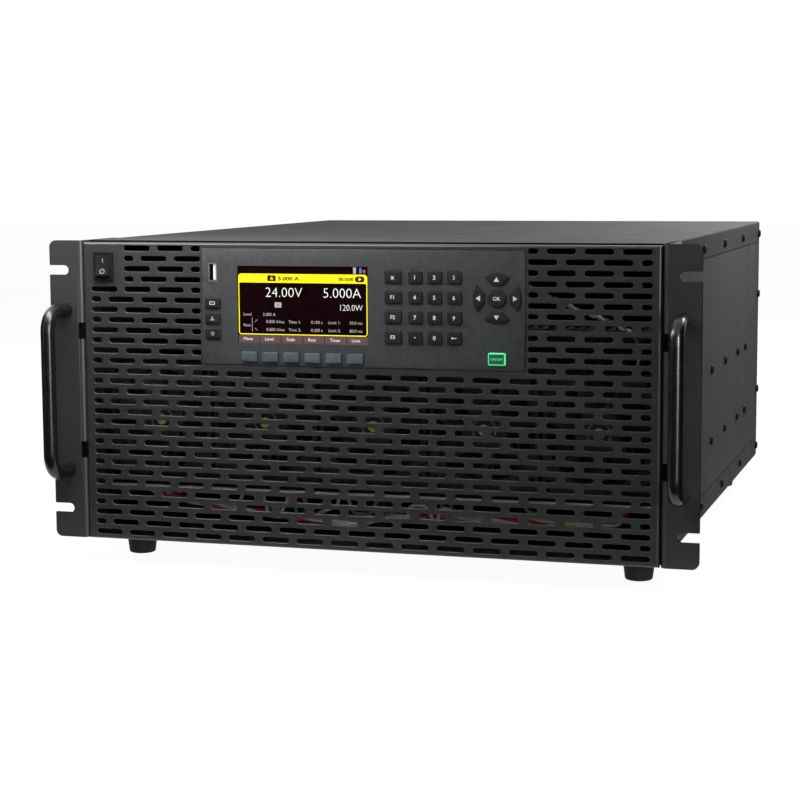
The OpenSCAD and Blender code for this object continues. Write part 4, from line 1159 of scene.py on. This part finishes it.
def lathe(profile, sides, closed=False):
    """A turned bmesh from radius and height pairs in millimetres. A closed profile makes a ring."""
    bm = bmesh.new()
    circle = unit_circle(sides)
    rings = [[bm.verts.new((r * c * MM, r * s * MM, h * MM)) for c, s in circle] for r, h in profile]
    count = len(rings) if closed else len(rings) - 1
    for a in range(count):
        ring, following = rings[a], rings[(a + 1) % len(rings)]
        for i in range(sides):
            j = (i + 1) % sides
            bm.faces.new((ring[i], ring[j], following[j], following[i]))
    if not closed:
        bm.faces.new(rings[0][::-1])
        bm.faces.new(rings[-1])
    return bm


def islands(node):
    """The separate solids of a CAD node, as lists of points."""
    bm = welded(node)
    left = set(bm.verts)
    found = []
    while left:
        front = [left.pop()]
        solid = []
        while front:
            vertex = front.pop()
            solid.append(vertex.co.copy())
            fresh = {edge.other_vert(vertex) for edge in vertex.link_edges} & left
            left -= fresh
            front.extend(fresh)
        found.append(solid)
    bm.free()
    return found


print("Sweeps, patterns and turned pieces ready")

# %% [markdown]
# ## Handles
# A rack handle is a round bar with two bends, finished in glossy black enamel. The CAD bar has facets, and
# gloss shows every facet, so a sweep along a filleted path stands for it with a finer round. Its grip lies
# a little closer to the panel.

# %% Sweep the handles
HANDLE_BEND = 14.5 * MM
HANDLE_REACH = 30 * MM
HANDLE_IN = 0.7 * MM
HANDLE_SIDES = 40

enamel = principled("enamel", (0.008, 0.008, 0.009), 0.25, specular=0.5)
drifting(enamel, (0.006, 0.006, 0.007), (0.011, 0.011, 0.012), 120)
patchy(enamel, 0.23, 0.28, 60)
for name in ("left_handle", "right_handle"):
    low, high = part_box(name)
    bar_r = (high.x - low.x) / 2
    middle_x = (high.x + low.x) / 2
    bar_x = middle_x - math.copysign(HANDLE_IN, middle_x)
    grip_y = high.y - HANDLE_REACH
    corners = [(bar_x, high.y, low.z + bar_r), (bar_x, grip_y, low.z + bar_r)]
    corners += [(bar_x, grip_y, high.z - bar_r), (bar_x, high.y, high.z - bar_r)]
    handle = shaded(swept(corners, bar_r, HANDLE_BEND, enamel, sides=HANDLE_SIDES), f"{name}_bar")
    stand_for(handle, name)
print("Two handles of", round(2 * bar_r / MM, 1), "mm bar")

# %% [markdown]
# ## Screws
# Black pan-head screws with a cross recess hold the case, and countersunk ones hold the handles. One screw of
# each kind is turned, and a Boolean cuts its recess. The points, axes and sizes of the copies come from the
# separate solids of the CAD node.

# %% Turn the two kinds of screws
HEAD_R = 3.5
HEAD_H = 2.2
SUNK_R = 5
CROSS_LONG = 4.2
CROSS_WIDE = 1.0
CROSS_DEEP = 1.3
SCREW_SIDES = 24
PAN = [(1.6, -7), (2.0, -6.5), (2.0, 0), (HEAD_R, 0), (HEAD_R, 0.9)]
PAN += [(3.3, 1.5), (2.7, 1.95), (1.5, 2.15), (0.4, HEAD_H)]
SUNK = [(2.0, -13.5), (2.5, -13), (2.5, -2.5), (SUNK_R, -0.2), (SUNK_R, 0), (2.8, 0), (0.4, 0)]

black_zinc = principled("black_zinc", grey(0.006), 0.55, specular=0.08)
drifting(black_zinc, grey(0.004), grey(0.009), 500)
patchy(black_zinc, 0.5, 0.6, 700)


def screw_source(name, profile, top):
    """A turned screw with its seat at height zero and a cross recess in its top."""
    screw = piece_from(lathe(profile, SCREW_SIDES), name)
    cutter_bm = bmesh.new()
    for length, width in ((CROSS_LONG, CROSS_WIDE), (CROSS_WIDE, CROSS_LONG)):
        size = Matrix.Diagonal((length * MM, width * MM, 2 * CROSS_DEEP * MM, 1))
        bmesh.ops.create_cube(cutter_bm, size=1, matrix=Matrix.Translation((0, 0, top * MM)) @ size)
    return shaded(carved(screw, cutter_bm), name)


pan_source = screw_source("pan_screw", PAN, HEAD_H)
sunk_source = screw_source("sunk_screw", SUNK, 0)
print("Turned", pan_source.name, "and", sunk_source.name)

# %% Set the screws
END_DEPTH = 0.3 * MM


def screw_place(points):
    """The top of the head, its axis and its radius, from the points of one CAD screw."""
    low = Vector([min(p[i] for p in points) for i in range(3)])
    high = Vector([max(p[i] for p in points) for i in range(3)])
    spans = high - low
    axis = max(range(3), key=lambda i: spans[i])
    middle = (low + high) / 2
    ends = []
    for end in (low[axis], high[axis]):
        near = [p for p in points if abs(p[axis] - end) < END_DEPTH]
        ends.append(max((p - middle).dot(p - middle) - (p[axis] - middle[axis]) ** 2 for p in near))
    sign = 1 if ends[1] > ends[0] else -1
    direction = Vector([sign if i == axis else 0 for i in range(3)])
    radius = max(spans[i] for i in range(3) if i != axis) / 2
    top = middle + direction * spans[axis] / 2
    return top, direction, radius


pan_places = []
sunk_places = []
for solid in islands("case_screws"):
    top, direction, radius = screw_place(solid)
    if direction.y:
        sunk_places.append((top, direction, radius / (SUNK_R * MM)))
    else:
        size = radius / (HEAD_R * MM)
        pan_places.append((top - direction * HEAD_H * MM * size, direction, size))
screw_bm = bmesh.new()
for source, places in ((pan_source, pan_places), (sunk_source, sunk_places)):
    spots, axes, sizes = zip(*places)
    add_mesh(screw_bm, patterned(source, spots, axes, sizes, black_zinc), 0)
    bpy.data.objects.remove(source)
screws = piece_from(screw_bm, "case_screw_set", black_zinc)
stand_for(screws, "case_screws")
print("Set", len(pan_places), "pan-head and", len(sunk_places), "countersunk screws")

# %% [markdown]
# ## Feet
# The feet are turned rubber cones with a deep hole for the screw. One lathe profile with a round lower edge
# is set on the four places of the CAD feet.

# %% Set the feet
FOOT = [(5, 0), (8.5, 0), (9.3, 0.3), (9.8, 0.8), (10, 1.5)]
FOOT += [(11.9, 17.2), (11.6, 18), (2.3, 18), (2.3, 13), (5, 13)]
FOOT_SIDES = 40
UPWARD = (0, 0, 1)

rubber = principled("rubber", (0.012, 0.012, 0.013), 0.75, specular=0.3)
drifting(rubber, (0.009, 0.009, 0.01), grey(0.018), 200)
grained(rubber, 1200, 0.4)
foot_source = piece_from(lathe(FOOT, FOOT_SIDES, closed=True), "foot")
foot_places = []
for solid in islands("rubber_feet"):
    foot_x = (min(p.x for p in solid) + max(p.x for p in solid)) / 2
    foot_y = (min(p.y for p in solid) + max(p.y for p in solid)) / 2
    foot_places.append((foot_x, foot_y, 0))
foot_count = len(foot_places)
feet_mesh = patterned(foot_source, foot_places, [UPWARD] * foot_count, [1.0] * foot_count, rubber)
bpy.data.objects.remove(foot_source)
feet = shaded(feet_mesh, "rubber_foot_set")
stand_for(feet, "rubber_feet")
print("Set", foot_count, "feet")

# %% [markdown]
# ## Display
# A colour display shows two large readings in a framed box, smaller rows below and a label over each of the
# six keys. Everything lit is a thin plate that gives off light, laid on the dark glass. The values are
# examples.

# %% Define what lights the display
WINDOW_W = 98.4
WINDOW_H = 55.6
GLASS_T = 0.05 * MM

glass = principled("glass", (0.006, 0.0012, 0.0018), 0.2, specular=0.25)
drifting(glass, (0.005, 0.001, 0.0014), (0.008, 0.0016, 0.0024), 80)
dress(glass, "display_module")
SCREEN_SHADES = {
    "white_light": (0.86, 0.86, 0.84),
    "yellow_light": (0.97, 0.9, 0.006),
    "brown_light": (0.11, 0.066, 0.066),
    "pale_light": (0.42, 0.4, 0.38),
    "dark_light": (0.012, 0.008, 0.003),
    "blue_light": (0.08, 0.16, 0.42),
    "pink_light": (0.45, 0.06, 0.2),
}
SCREEN_FINISHES = [glowing(name, shade) for name, shade in SCREEN_SHADES.items()]
WHITE_AT, YELLOW_AT, BROWN_AT, PALE_AT, DARK_AT, BLUE_AT, PINK_AT = range(len(SCREEN_SHADES))

screen_low, screen_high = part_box("display_module")
screen_left = (screen_low.x + screen_high.x) / 2 - WINDOW_W / 2 * MM
screen_top = (screen_low.z + screen_high.z) / 2 + WINDOW_H / 2 * MM
screen_y = screen_low.y
screen_bm = bmesh.new()


def on_screen(left, down, width, height, radius=0.0):
    """The outline of a box on the screen, in millimetres from its top left corner."""
    x = screen_left + (left + width / 2) * MM
    z = screen_top - (down + height / 2) * MM
    return box_outline(x, z, width * MM, height * MM, radius * MM)


def lit_plate(outline, index, layer=1):
    """A lit plate with an outline, on the glass."""
    add_prism(screen_bm, outline, screen_y - layer * GLASS_T, screen_y, index)


def lit_text(text, left, down, height, index, width=0.0, layer=2, bold=0.0):
    """Lit letters on the glass, stretched to a width if one is given."""
    mesh = lettering(text, height * MM, bold)
    xs = [v.co.x for v in mesh.vertices]
    stretch = width * MM / (max(xs) - min(xs)) if width else 1
    x = screen_left + left * MM - min(xs) * stretch
    z = screen_top - (down + height / 2) * MM
    spot = Matrix.Translation((x, screen_y - layer * GLASS_T, z))
    mesh.transform(spot @ Matrix.Diagonal((stretch, 1, 1, 1)))
    add_mesh(screen_bm, mesh, index)


print("Display of", WINDOW_W, "by", WINDOW_H, "mm")

# %% Light the readings
MARGIN = 0.5
BOX_TOP = 5.6
BOX_H = 43.8
BOX_LINE = 0.7
BOX_R = 2.2
HEADER_H = 6.4
FIELD_R = 1.2
THIN = -0.022
INKED = 0.04
SMALL_H = 2.2
# A box has its left and upper edge, width, height, shade, layer and corner radius.
BOXES = (
    (22.8, 6.7, 6.4, 4.2, DARK_AT, 2, 0.8),
    (88.8, 6.8, 7, 4.2, DARK_AT, 2, 2.0),
    (28.1, 26, 5.2, 3.7, PALE_AT, 1, 0.6),
    (10.7, 37.4, 0.3, 9.6, PALE_AT, 1, 0),
    (87.4, 0.6, 2.2, 4.4, PALE_AT, 1, 0),
    (92, 0.8, 1.8, 4, BLUE_AT, 1, 0),
    (94.6, 2.2, 2, 2.2, PINK_AT, 1, 0),
)
# A sign has its corners, anticlockwise, shade and layer.
SIGNS = (
    (((91.4, 7.7), (91.4, 10.1), (93.8, 8.9)), YELLOW_AT, 3),
    (((12.6, 40.4), (13, 40.4), (15, 38.6), (14.6, 38.6)), PALE_AT, 1),
    (((12.6, 44.6), (14.6, 46.4), (15, 46.4), (13, 44.6)), PALE_AT, 1),
)
# A reading has its left and upper edge, height, shade, width or zero, layer and weight of line.
READINGS = (
    ("A", 24.9, 7.6, 2.4, YELLOW_AT, 0, 3, INKED),
    ("5.000 A", 31, 7.5, 2.7, DARK_AT, 16, 2, INKED),
    ("00:10:00", 76.6, 7.7, 2.4, DARK_AT, 11, 2, INKED),
    ("24.00V", 21.3, 15, 7.2, WHITE_AT, 27.8, 2, THIN),
    ("5.000A", 65.2, 15, 7.2, WHITE_AT, 28, 2, THIN),
    ("120.0W", 77.7, 26.7, 4.5, WHITE_AT, 16.7, 2, THIN),
    ("V", 29.9, 26.8, 2.1, DARK_AT, 0, 2, 0),
    ("Level", 4.3, 33.6, SMALL_H, PALE_AT, 0, 2, 0),
    ("5.000 A", 19.2, 33.6, SMALL_H, PALE_AT, 0, 2, 0),
    ("Rate", 4.3, 41.4, SMALL_H, PALE_AT, 0, 2, 0),
)

box_w = WINDOW_W - 2 * MARGIN
field_w = box_w - 2 * BOX_LINE
field_h = BOX_H - HEADER_H - BOX_LINE
box_edge = on_screen(MARGIN, BOX_TOP, box_w, BOX_H, BOX_R)
field_edge = on_screen(MARGIN + BOX_LINE, BOX_TOP + HEADER_H, field_w, field_h, FIELD_R)
add_frame(screen_bm, box_edge, field_edge, screen_y - GLASS_T, screen_y, YELLOW_AT)
for left, down, width, height, index, layer, radius in BOXES:
    lit_plate(on_screen(left, down, width, height, radius), index, layer)
for corners, index, layer in SIGNS:
    lit_plate([(screen_left + across * MM, screen_top - down * MM) for across, down in corners], index, layer)
for reading in READINGS:
    lit_text(*reading)
print("Lit", len(READINGS), "readings in a box of", field_w, "mm")

# %% Fill the lower rows of the display
COLUMNS = (21.6, 38.6, 55.6, 68.8, 84.6)
ROWS = {
    38.7: ("0.500 A/ms", "Time 1:", "0.100 s", "Limit 1:", "50.0 ms"),
    44.4: ("0.500 A/ms", "Time 2:", "0.200 s", "Limit 2:", "80.0 ms"),
}
LABELS = ("Menu", "Level", "Scale", "Rate", "Timer", "Limit")
CELL_PITCH = 16.4
CELL_LEFT = 0.3
CELL_TOP = 49.6
CELL_W = 16
CELL_H = 5.9
LABEL_LEFT = 4.2
LABEL_TOP = 51.2
LABEL_H = 2.3

for down, cells in ROWS.items():
    for words, left in zip(cells, COLUMNS):
        lit_text(words, left, down, SMALL_H, PALE_AT)
for cell, label in enumerate(LABELS):
    lit_plate(on_screen(CELL_LEFT + CELL_PITCH * cell, CELL_TOP, CELL_W, CELL_H), BROWN_AT)
    lit_text(label, LABEL_LEFT + CELL_PITCH * cell, LABEL_TOP, LABEL_H, WHITE_AT)
screen = piece_from(screen_bm, "display_picture", *SCREEN_FINISHES)
add_to(screen, "chassis")
print("Filled", len(ROWS), "rows and", len(LABELS), "labels")

# %% [markdown]
# ## Boards and sockets
# The keypad board is green, and the USB socket on it is a pale shell round a white tongue, with its hollow
# painted dark as shade. The upper edge of the power board shows its bare resin through the slots. On the
# rear, the interface board carries three shielded sockets and one green terminal strip. Each board is one
# solid, so masks tell its pieces apart.

# %% Dress the keypad board
NICKEL = (0.55, 0.55, 0.53)
HOLLOW_PAINTED_SHADE = grey(0.004)
TONGUE_SHADE = (0.8, 0.8, 0.78)
USB_X = -111.4 * MM
USB_Z = 217.35 * MM
USB_HALF_W = 3.0 * MM
USB_HALF_H = 6.55 * MM
USB_WALL = 0.4 * MM
USB_LIP = 0.15 * MM
USB_BACK = 12.5 * MM
TONGUE_LEFT = 0.05 * MM
TONGUE_RIGHT = 1.95 * MM
TONGUE_HALF_H = 5.6 * MM


def spread(middle, half):
    """The two limits of a span round a middle."""
    return (middle - half, middle + half)


board_green = principled("board_green", (0.012, 0.06, 0.025), 0.4)
drifting(board_green, (0.009, 0.045, 0.02), (0.015, 0.075, 0.03), 300)
board_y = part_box("keypad_board")[0].y
socket_y = (board_y - OVER, board_y + USB_BACK)
inside_y = (board_y + USB_LIP, board_y + USB_BACK)
shell_x = spread(USB_X, USB_HALF_W + WELD)
shell_z = spread(USB_Z, USB_HALF_H + WELD)
inside_x = spread(USB_X, USB_HALF_W - USB_WALL + WELD)
inside_z = spread(USB_Z, USB_HALF_H - USB_WALL + WELD)
tongue_x = (USB_X + TONGUE_LEFT, USB_X + TONGUE_RIGHT)
tongue_z = spread(USB_Z, TONGUE_HALF_H)
recolored(board_green, box_mask(board_green, shell_x, socket_y, shell_z), scaled(NICKEL, 0.5))
# Painted shade: the hollow inside the socket shell is painted near black.
recolored(board_green, box_mask(board_green, inside_x, inside_y, inside_z), HOLLOW_PAINTED_SHADE)
recolored(board_green, box_mask(board_green, tongue_x, socket_y, tongue_z), TONGUE_SHADE)
dress(board_green, "keypad_board")
print("Keypad board with a socket of", round(2 * USB_HALF_H / MM, 1), "mm")

# %% Dress the power board and the interface board
RESIN = (0.8, 0.74, 0.62)
RESIN_H = 1.1 * MM
RESIN_DEPTH = 0.3 * MM
STRIP_GREEN = (0.02, 0.16, 0.06)
STRIP_W = 42 * MM

board_tan = principled("board_tan", (0.02, 0.024, 0.02), 0.6, specular=0.2)
drifting(board_tan, (0.016, 0.02, 0.016), (0.025, 0.03, 0.025), 150)
edge_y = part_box("power_board")[0].y
edge_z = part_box("power_board")[1].z
edge_face = between(board_tan, "Y", edge_y - OVER, edge_y + RESIN_DEPTH)
edge_strip = between(board_tan, "Z", edge_z - RESIN_H, edge_z + OVER)
recolored(board_tan, both(board_tan, edge_face, edge_strip), RESIN)
dress(board_tan, "power_board")

ports = principled("ports", (0.01, 0.014, 0.011), 0.4)
drifting(ports, (0.008, 0.011, 0.009), (0.013, 0.018, 0.014), 400)
port_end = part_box("interface_board")[1].x
rear_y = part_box("rear_panel")[1].y
shell_mask = between(ports, "Y", rear_y - WELD, rear_y + FAR)
strip_mask = both(ports, shell_mask, between(ports, "X", port_end - STRIP_W, port_end + OVER))
recolored(ports, shell_mask, scaled(NICKEL, 0.8), 0.85)
recolored(ports, strip_mask, STRIP_GREEN)
dress(ports, "interface_board")
print("Boards and sockets dressed")

# %% [markdown]
# ## Rocker switch
# The rocker and its housing are glossy black plastic. The rocker carries a line above and a ring below, the
# usual marks for on and off, printed on its two sloped faces.

# %% Make the rocker
SWITCH_SHADE = (0.014, 0.014, 0.015)
ROCKER_ROUND = 0.3 * MM
ROCKER_SEGMENTS = 2
ROCKER_SHOWN = 4 * MM
LINE_W = 0.7 * MM
LINE_H = 3.2 * MM
LINE_UP = 4.2 * MM
OFF_RING_R = 1.7 * MM
OFF_RING_W = 0.6 * MM
OFF_RING_DOWN = 3.6 * MM

switch_plastic = moulded("switch_plastic", SWITCH_SHADE, 0.3)
dress(switch_plastic, "rocker_housing")
low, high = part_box("power_rocker")
middle = (low + high) / 2
rocker_bm = merged("power_rocker")
rounded_edges(rocker_bm, ROCKER_ROUND, ROCKER_SEGMENTS, in_front_of(high.y - ROCKER_SHOWN))
line = shape_mesh(box_outline(0, 0, LINE_W, LINE_H))
add_mesh(rocker_bm, settle(line, *seat("power_rocker", middle.x, middle.z + LINE_UP)), 1)
ring = ring_mesh(OFF_RING_R, OFF_RING_W)
add_mesh(rocker_bm, settle(ring, *seat("power_rocker", middle.x, middle.z - OFF_RING_DOWN)), 1)
rocker = piece_from(rocker_bm, "power_rocker_cap", switch_plastic, grey_print)
stand_for(rocker, "power_rocker")
print("Rocker of", round((high.z - low.z) / MM, 1), "mm")

# %% [markdown]
# ## Fans and heat sinks
# The fans are black glass-filled plastic. A brass bush sits in the middle of each rotor with a paler ring
# round it. The ring and the bush are told by the distance from the axis, so each rotor has its own copy of
# the finish.

# %% Dress the fans
FAN_COUNT = 5
FAN_GAP = 3 * MM
FRAME_SHADE = grey(0.04)
ROTOR_SHADE = grey(0.045)
RING_SHADE = grey(0.2)
BRASS = (0.85, 0.68, 0.2)
BUSH_R = 4.0 * MM
RING_R = (7.6 * MM, 9.0 * MM)
ACROSS_AXIS = (1, 0, 1)
ALONG_FINS = (1, 0.1, 1)

fan_plastic = moulded("fan_plastic", FRAME_SHADE, 0.5)
dress(fan_plastic, "fan_frames")


def from_axis(made, x, z):
    """The distance from an axis along Y."""
    tree = made.node_tree
    place = tree.nodes.new("ShaderNodeTexCoord")
    shift = tree.nodes.new("ShaderNodeVectorMath")
    shift.operation = "SUBTRACT"
    shift.inputs[1].default_value = (x, 0, z)
    flat = tree.nodes.new("ShaderNodeVectorMath")
    flat.operation = "MULTIPLY"
    flat.inputs[1].default_value = ACROSS_AXIS
    length = tree.nodes.new("ShaderNodeVectorMath")
    length.operation = "LENGTH"
    tree.links.new(place.outputs["Object"], shift.inputs[0])
    tree.links.new(shift.outputs[0], flat.inputs[0])
    tree.links.new(flat.outputs[0], length.inputs[0])
    return length.outputs["Value"]


def within(made, distance, low, high):
    """One where a distance lies between two values."""
    return math_node(made.node_tree, "COMPARE", distance, (low + high) / 2, (high - low) / 2)


low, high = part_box("fan_frames")
fan_pitch = (high.x - low.x + FAN_GAP) / FAN_COUNT
axis_z = (low.z + high.z) / 2
for number in range(1, FAN_COUNT + 1):
    axis_x = low.x - FAN_GAP / 2 + (number - 0.5) * fan_pitch
    rotor_finish = moulded(f"rotor_plastic_{number}", ROTOR_SHADE, 0.45)
    distance = from_axis(rotor_finish, axis_x, axis_z)
    recolored(rotor_finish, within(rotor_finish, distance, *RING_R), RING_SHADE)
    recolored(rotor_finish, within(rotor_finish, distance, -BUSH_R, BUSH_R), BRASS, 0.2)
    dress(rotor_finish, f"fan_rotor_{number}")

sink_metal = principled("sink_metal", grey(0.12), 0.5, metallic=0.7)
drifting(sink_metal, grey(0.09), grey(0.15), 200, ALONG_FINS)
dress(sink_metal, "heat_sinks")
print(FAN_COUNT, "fans dressed")

# %% [markdown]
# ## Wiring
# A loom hangs under the power board, and short wires loop from the board to it. A twisted pair of thin leads
# runs from the keypad board down to the fans. A sweep along a path makes each wire, and winding it round
# that path makes the twist. Each short wire has its own path, since hand wiring has no pattern.

# %% Lay out the wires under the board
SLEEVES = {
    "white_sleeve": (0.88, 0.88, 0.86),
    "red_sleeve": (0.6, 0.03, 0.05),
    "green_sleeve": (0.03, 0.36, 0.12),
    "yellow_sleeve": (0.75, 0.6, 0.06),
    "grey_sleeve": (0.3, 0.3, 0.3),
}
WHITE_WIRE, RED_WIRE, GREEN_WIRE, YELLOW_WIRE, GREY_WIRE = range(len(SLEEVES))
LOOM = [(-190, 54), (-178, 49), (-150, 43), (-112, 38), (-60, 33), (-20, 33)]
LOOM += [(20, 37), (90, 38), (150, 38), (180, 41), (187, 54)]
TWISTED = ((WHITE_WIRE, 0.0), (WHITE_WIRE, 2.1), (RED_WIRE, 4.2))
SHORT_WIRES = [
    (RED_WIRE, [(-174, 54), (-168, 46), (-152, 45), (-144, 54)]),
    (WHITE_WIRE, [(-164, 54), (-156, 44), (-140, 42), (-128, 38)]),
    (WHITE_WIRE, [(-134, 38), (-122, 36), (-112, 40), (-106, 54)]),
    (WHITE_WIRE, [(-92, 54), (-88, 44), (-86, 36)]),
    (WHITE_WIRE, [(-76, 36), (-70, 46), (-69, 54)]),
    (GREEN_WIRE, [(-66, 54), (-65, 36), (-58, 34), (-57, 54)]),
    (WHITE_WIRE, [(-54, 33), (-47, 37), (-34, 42), (-30, 54)]),
    (RED_WIRE, [(-60, 54), (-52, 30), (-44, 27), (-36, 33)]),
    (WHITE_WIRE, [(-40, 32), (-24, 30), (-10, 31), (4, 36)]),
    (GREY_WIRE, [(-26, 54), (-20, 38), (-6, 38), (0, 54)]),
    (WHITE_WIRE, [(0, 37), (10, 38), (24, 37), (36, 38)]),
    (WHITE_WIRE, [(22, 37), (25, 47), (37, 47), (42, 37)]),
    (WHITE_WIRE, [(46, 37), (48, 46), (56, 46), (58, 37)]),
    (RED_WIRE, [(46, 54), (49, 38), (53, 36), (56, 54)]),
    (WHITE_WIRE, [(60, 38), (76, 39), (92, 37), (104, 38)]),
    (GREEN_WIRE, [(108, 54), (112, 46), (122, 45), (126, 54)]),
    (YELLOW_WIRE, [(110, 38), (122, 36), (136, 38), (146, 39)]),
    (WHITE_WIRE, [(124, 38), (140, 39), (156, 37), (172, 39)]),
]
print("Paths for", len(TWISTED) + len(SHORT_WIRES), "wires")

# %% Hang the wires under the board
WIRE_R = 1.4 * MM
WIRE_BEND = 9 * MM
LOOP_BEND = 5 * MM
WIND = 1.7 * MM
WIND_PITCH = 64 * MM
DEPTHS = (-3, 2, 5, -1)


def sleeve(name, color):
    """Soft PVC sleeve."""
    made = principled(name, color, 0.45)
    drifting(made, scaled(color, 0.85), scaled(color, 1.1), 150)
    return made


sleeves = [sleeve(name, color) for name, color in SLEEVES.items()]
wire_low, wire_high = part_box("wiring")
wire_y = (wire_low.y + wire_high.y) / 2
wire_bm = bmesh.new()


def hung(points, depth):
    """A path under the board, in metres."""
    return [(x * MM, wire_y + depth * MM, min(z * MM, wire_high.z)) for x, z in points]


def add_wire(path, index, bend, wind=0.0, phase=0.0):
    """Adds one swept wire in one of the sleeves."""
    add_mesh(wire_bm, swept(path, WIRE_R, bend, sleeves[index], wind, WIND_PITCH, phase), index)


for index, phase in TWISTED:
    add_wire(hung(LOOM, 0), index, WIRE_BEND, WIND, phase)
for number, (index, points) in enumerate(SHORT_WIRES):
    add_wire(hung(points, DEPTHS[number % len(DEPTHS)]), index, LOOP_BEND)
wires = piece_from(wire_bm, "wire_looms", *sleeves)
stand_for(wires, "wiring")
print("Swept a loom of", len(TWISTED), "and", len(SHORT_WIRES), "short wires")

# %% Run the thin leads
LEAD_R = 0.8 * MM
LEAD_WIND = 1.0 * MM
LEAD_PITCH = 11 * MM
LEAD_SIDES = 8
LEAD_PATH = [(108, -256.5, 214), (116, -247, 209), (134, -245, 200), (152, -244, 192), (174, -243, 184)]
LEAD_PATH += [(190, -241, 176), (194, -238, 163), (190, -234, 145.6)]

lead_points = [(x * MM, y * MM, z * MM) for x, y, z in LEAD_PATH]
lead_bm = bmesh.new()
for index, phase in ((WHITE_WIRE, 0.0), (GREY_WIRE, math.pi)):
    lead = swept(lead_points, LEAD_R, LOOP_BEND, sleeves[index], LEAD_WIND, LEAD_PITCH, phase, LEAD_SIDES)
    add_mesh(lead_bm, lead, index)
leads = piece_from(lead_bm, "fan_leads", *sleeves)
add_to(leads, "chassis")
print("Ran a pair of leads from the keypad to the fans")

# %% [markdown]
# ## Rear connectors
# The load terminals are nickel-plated copper bars in a black block, and the mains inlet is black plastic.
# The block and its bars are one solid group, told apart by their depth.

# %% Dress the rear
BLOCK_SHADE = (0.015, 0.015, 0.016)
BLOCK_OUT = 10.2 * MM
PLATED_BAR = (0.62, 0.58, 0.52)
INLET_SHADE = (0.012, 0.012, 0.013)

terminal_finish = moulded("terminal_block", BLOCK_SHADE, 0.45)
bar_mask = between(terminal_finish, "Y", rear_y + BLOCK_OUT, rear_y + FAR)
recolored(terminal_finish, bar_mask, PLATED_BAR, 0.95)
dress(terminal_finish, "load_terminals")
inlet_plastic = moulded("inlet_plastic", INLET_SHADE, 0.4)
dress(inlet_plastic, "ac_inlet")
print("Rear dressed")
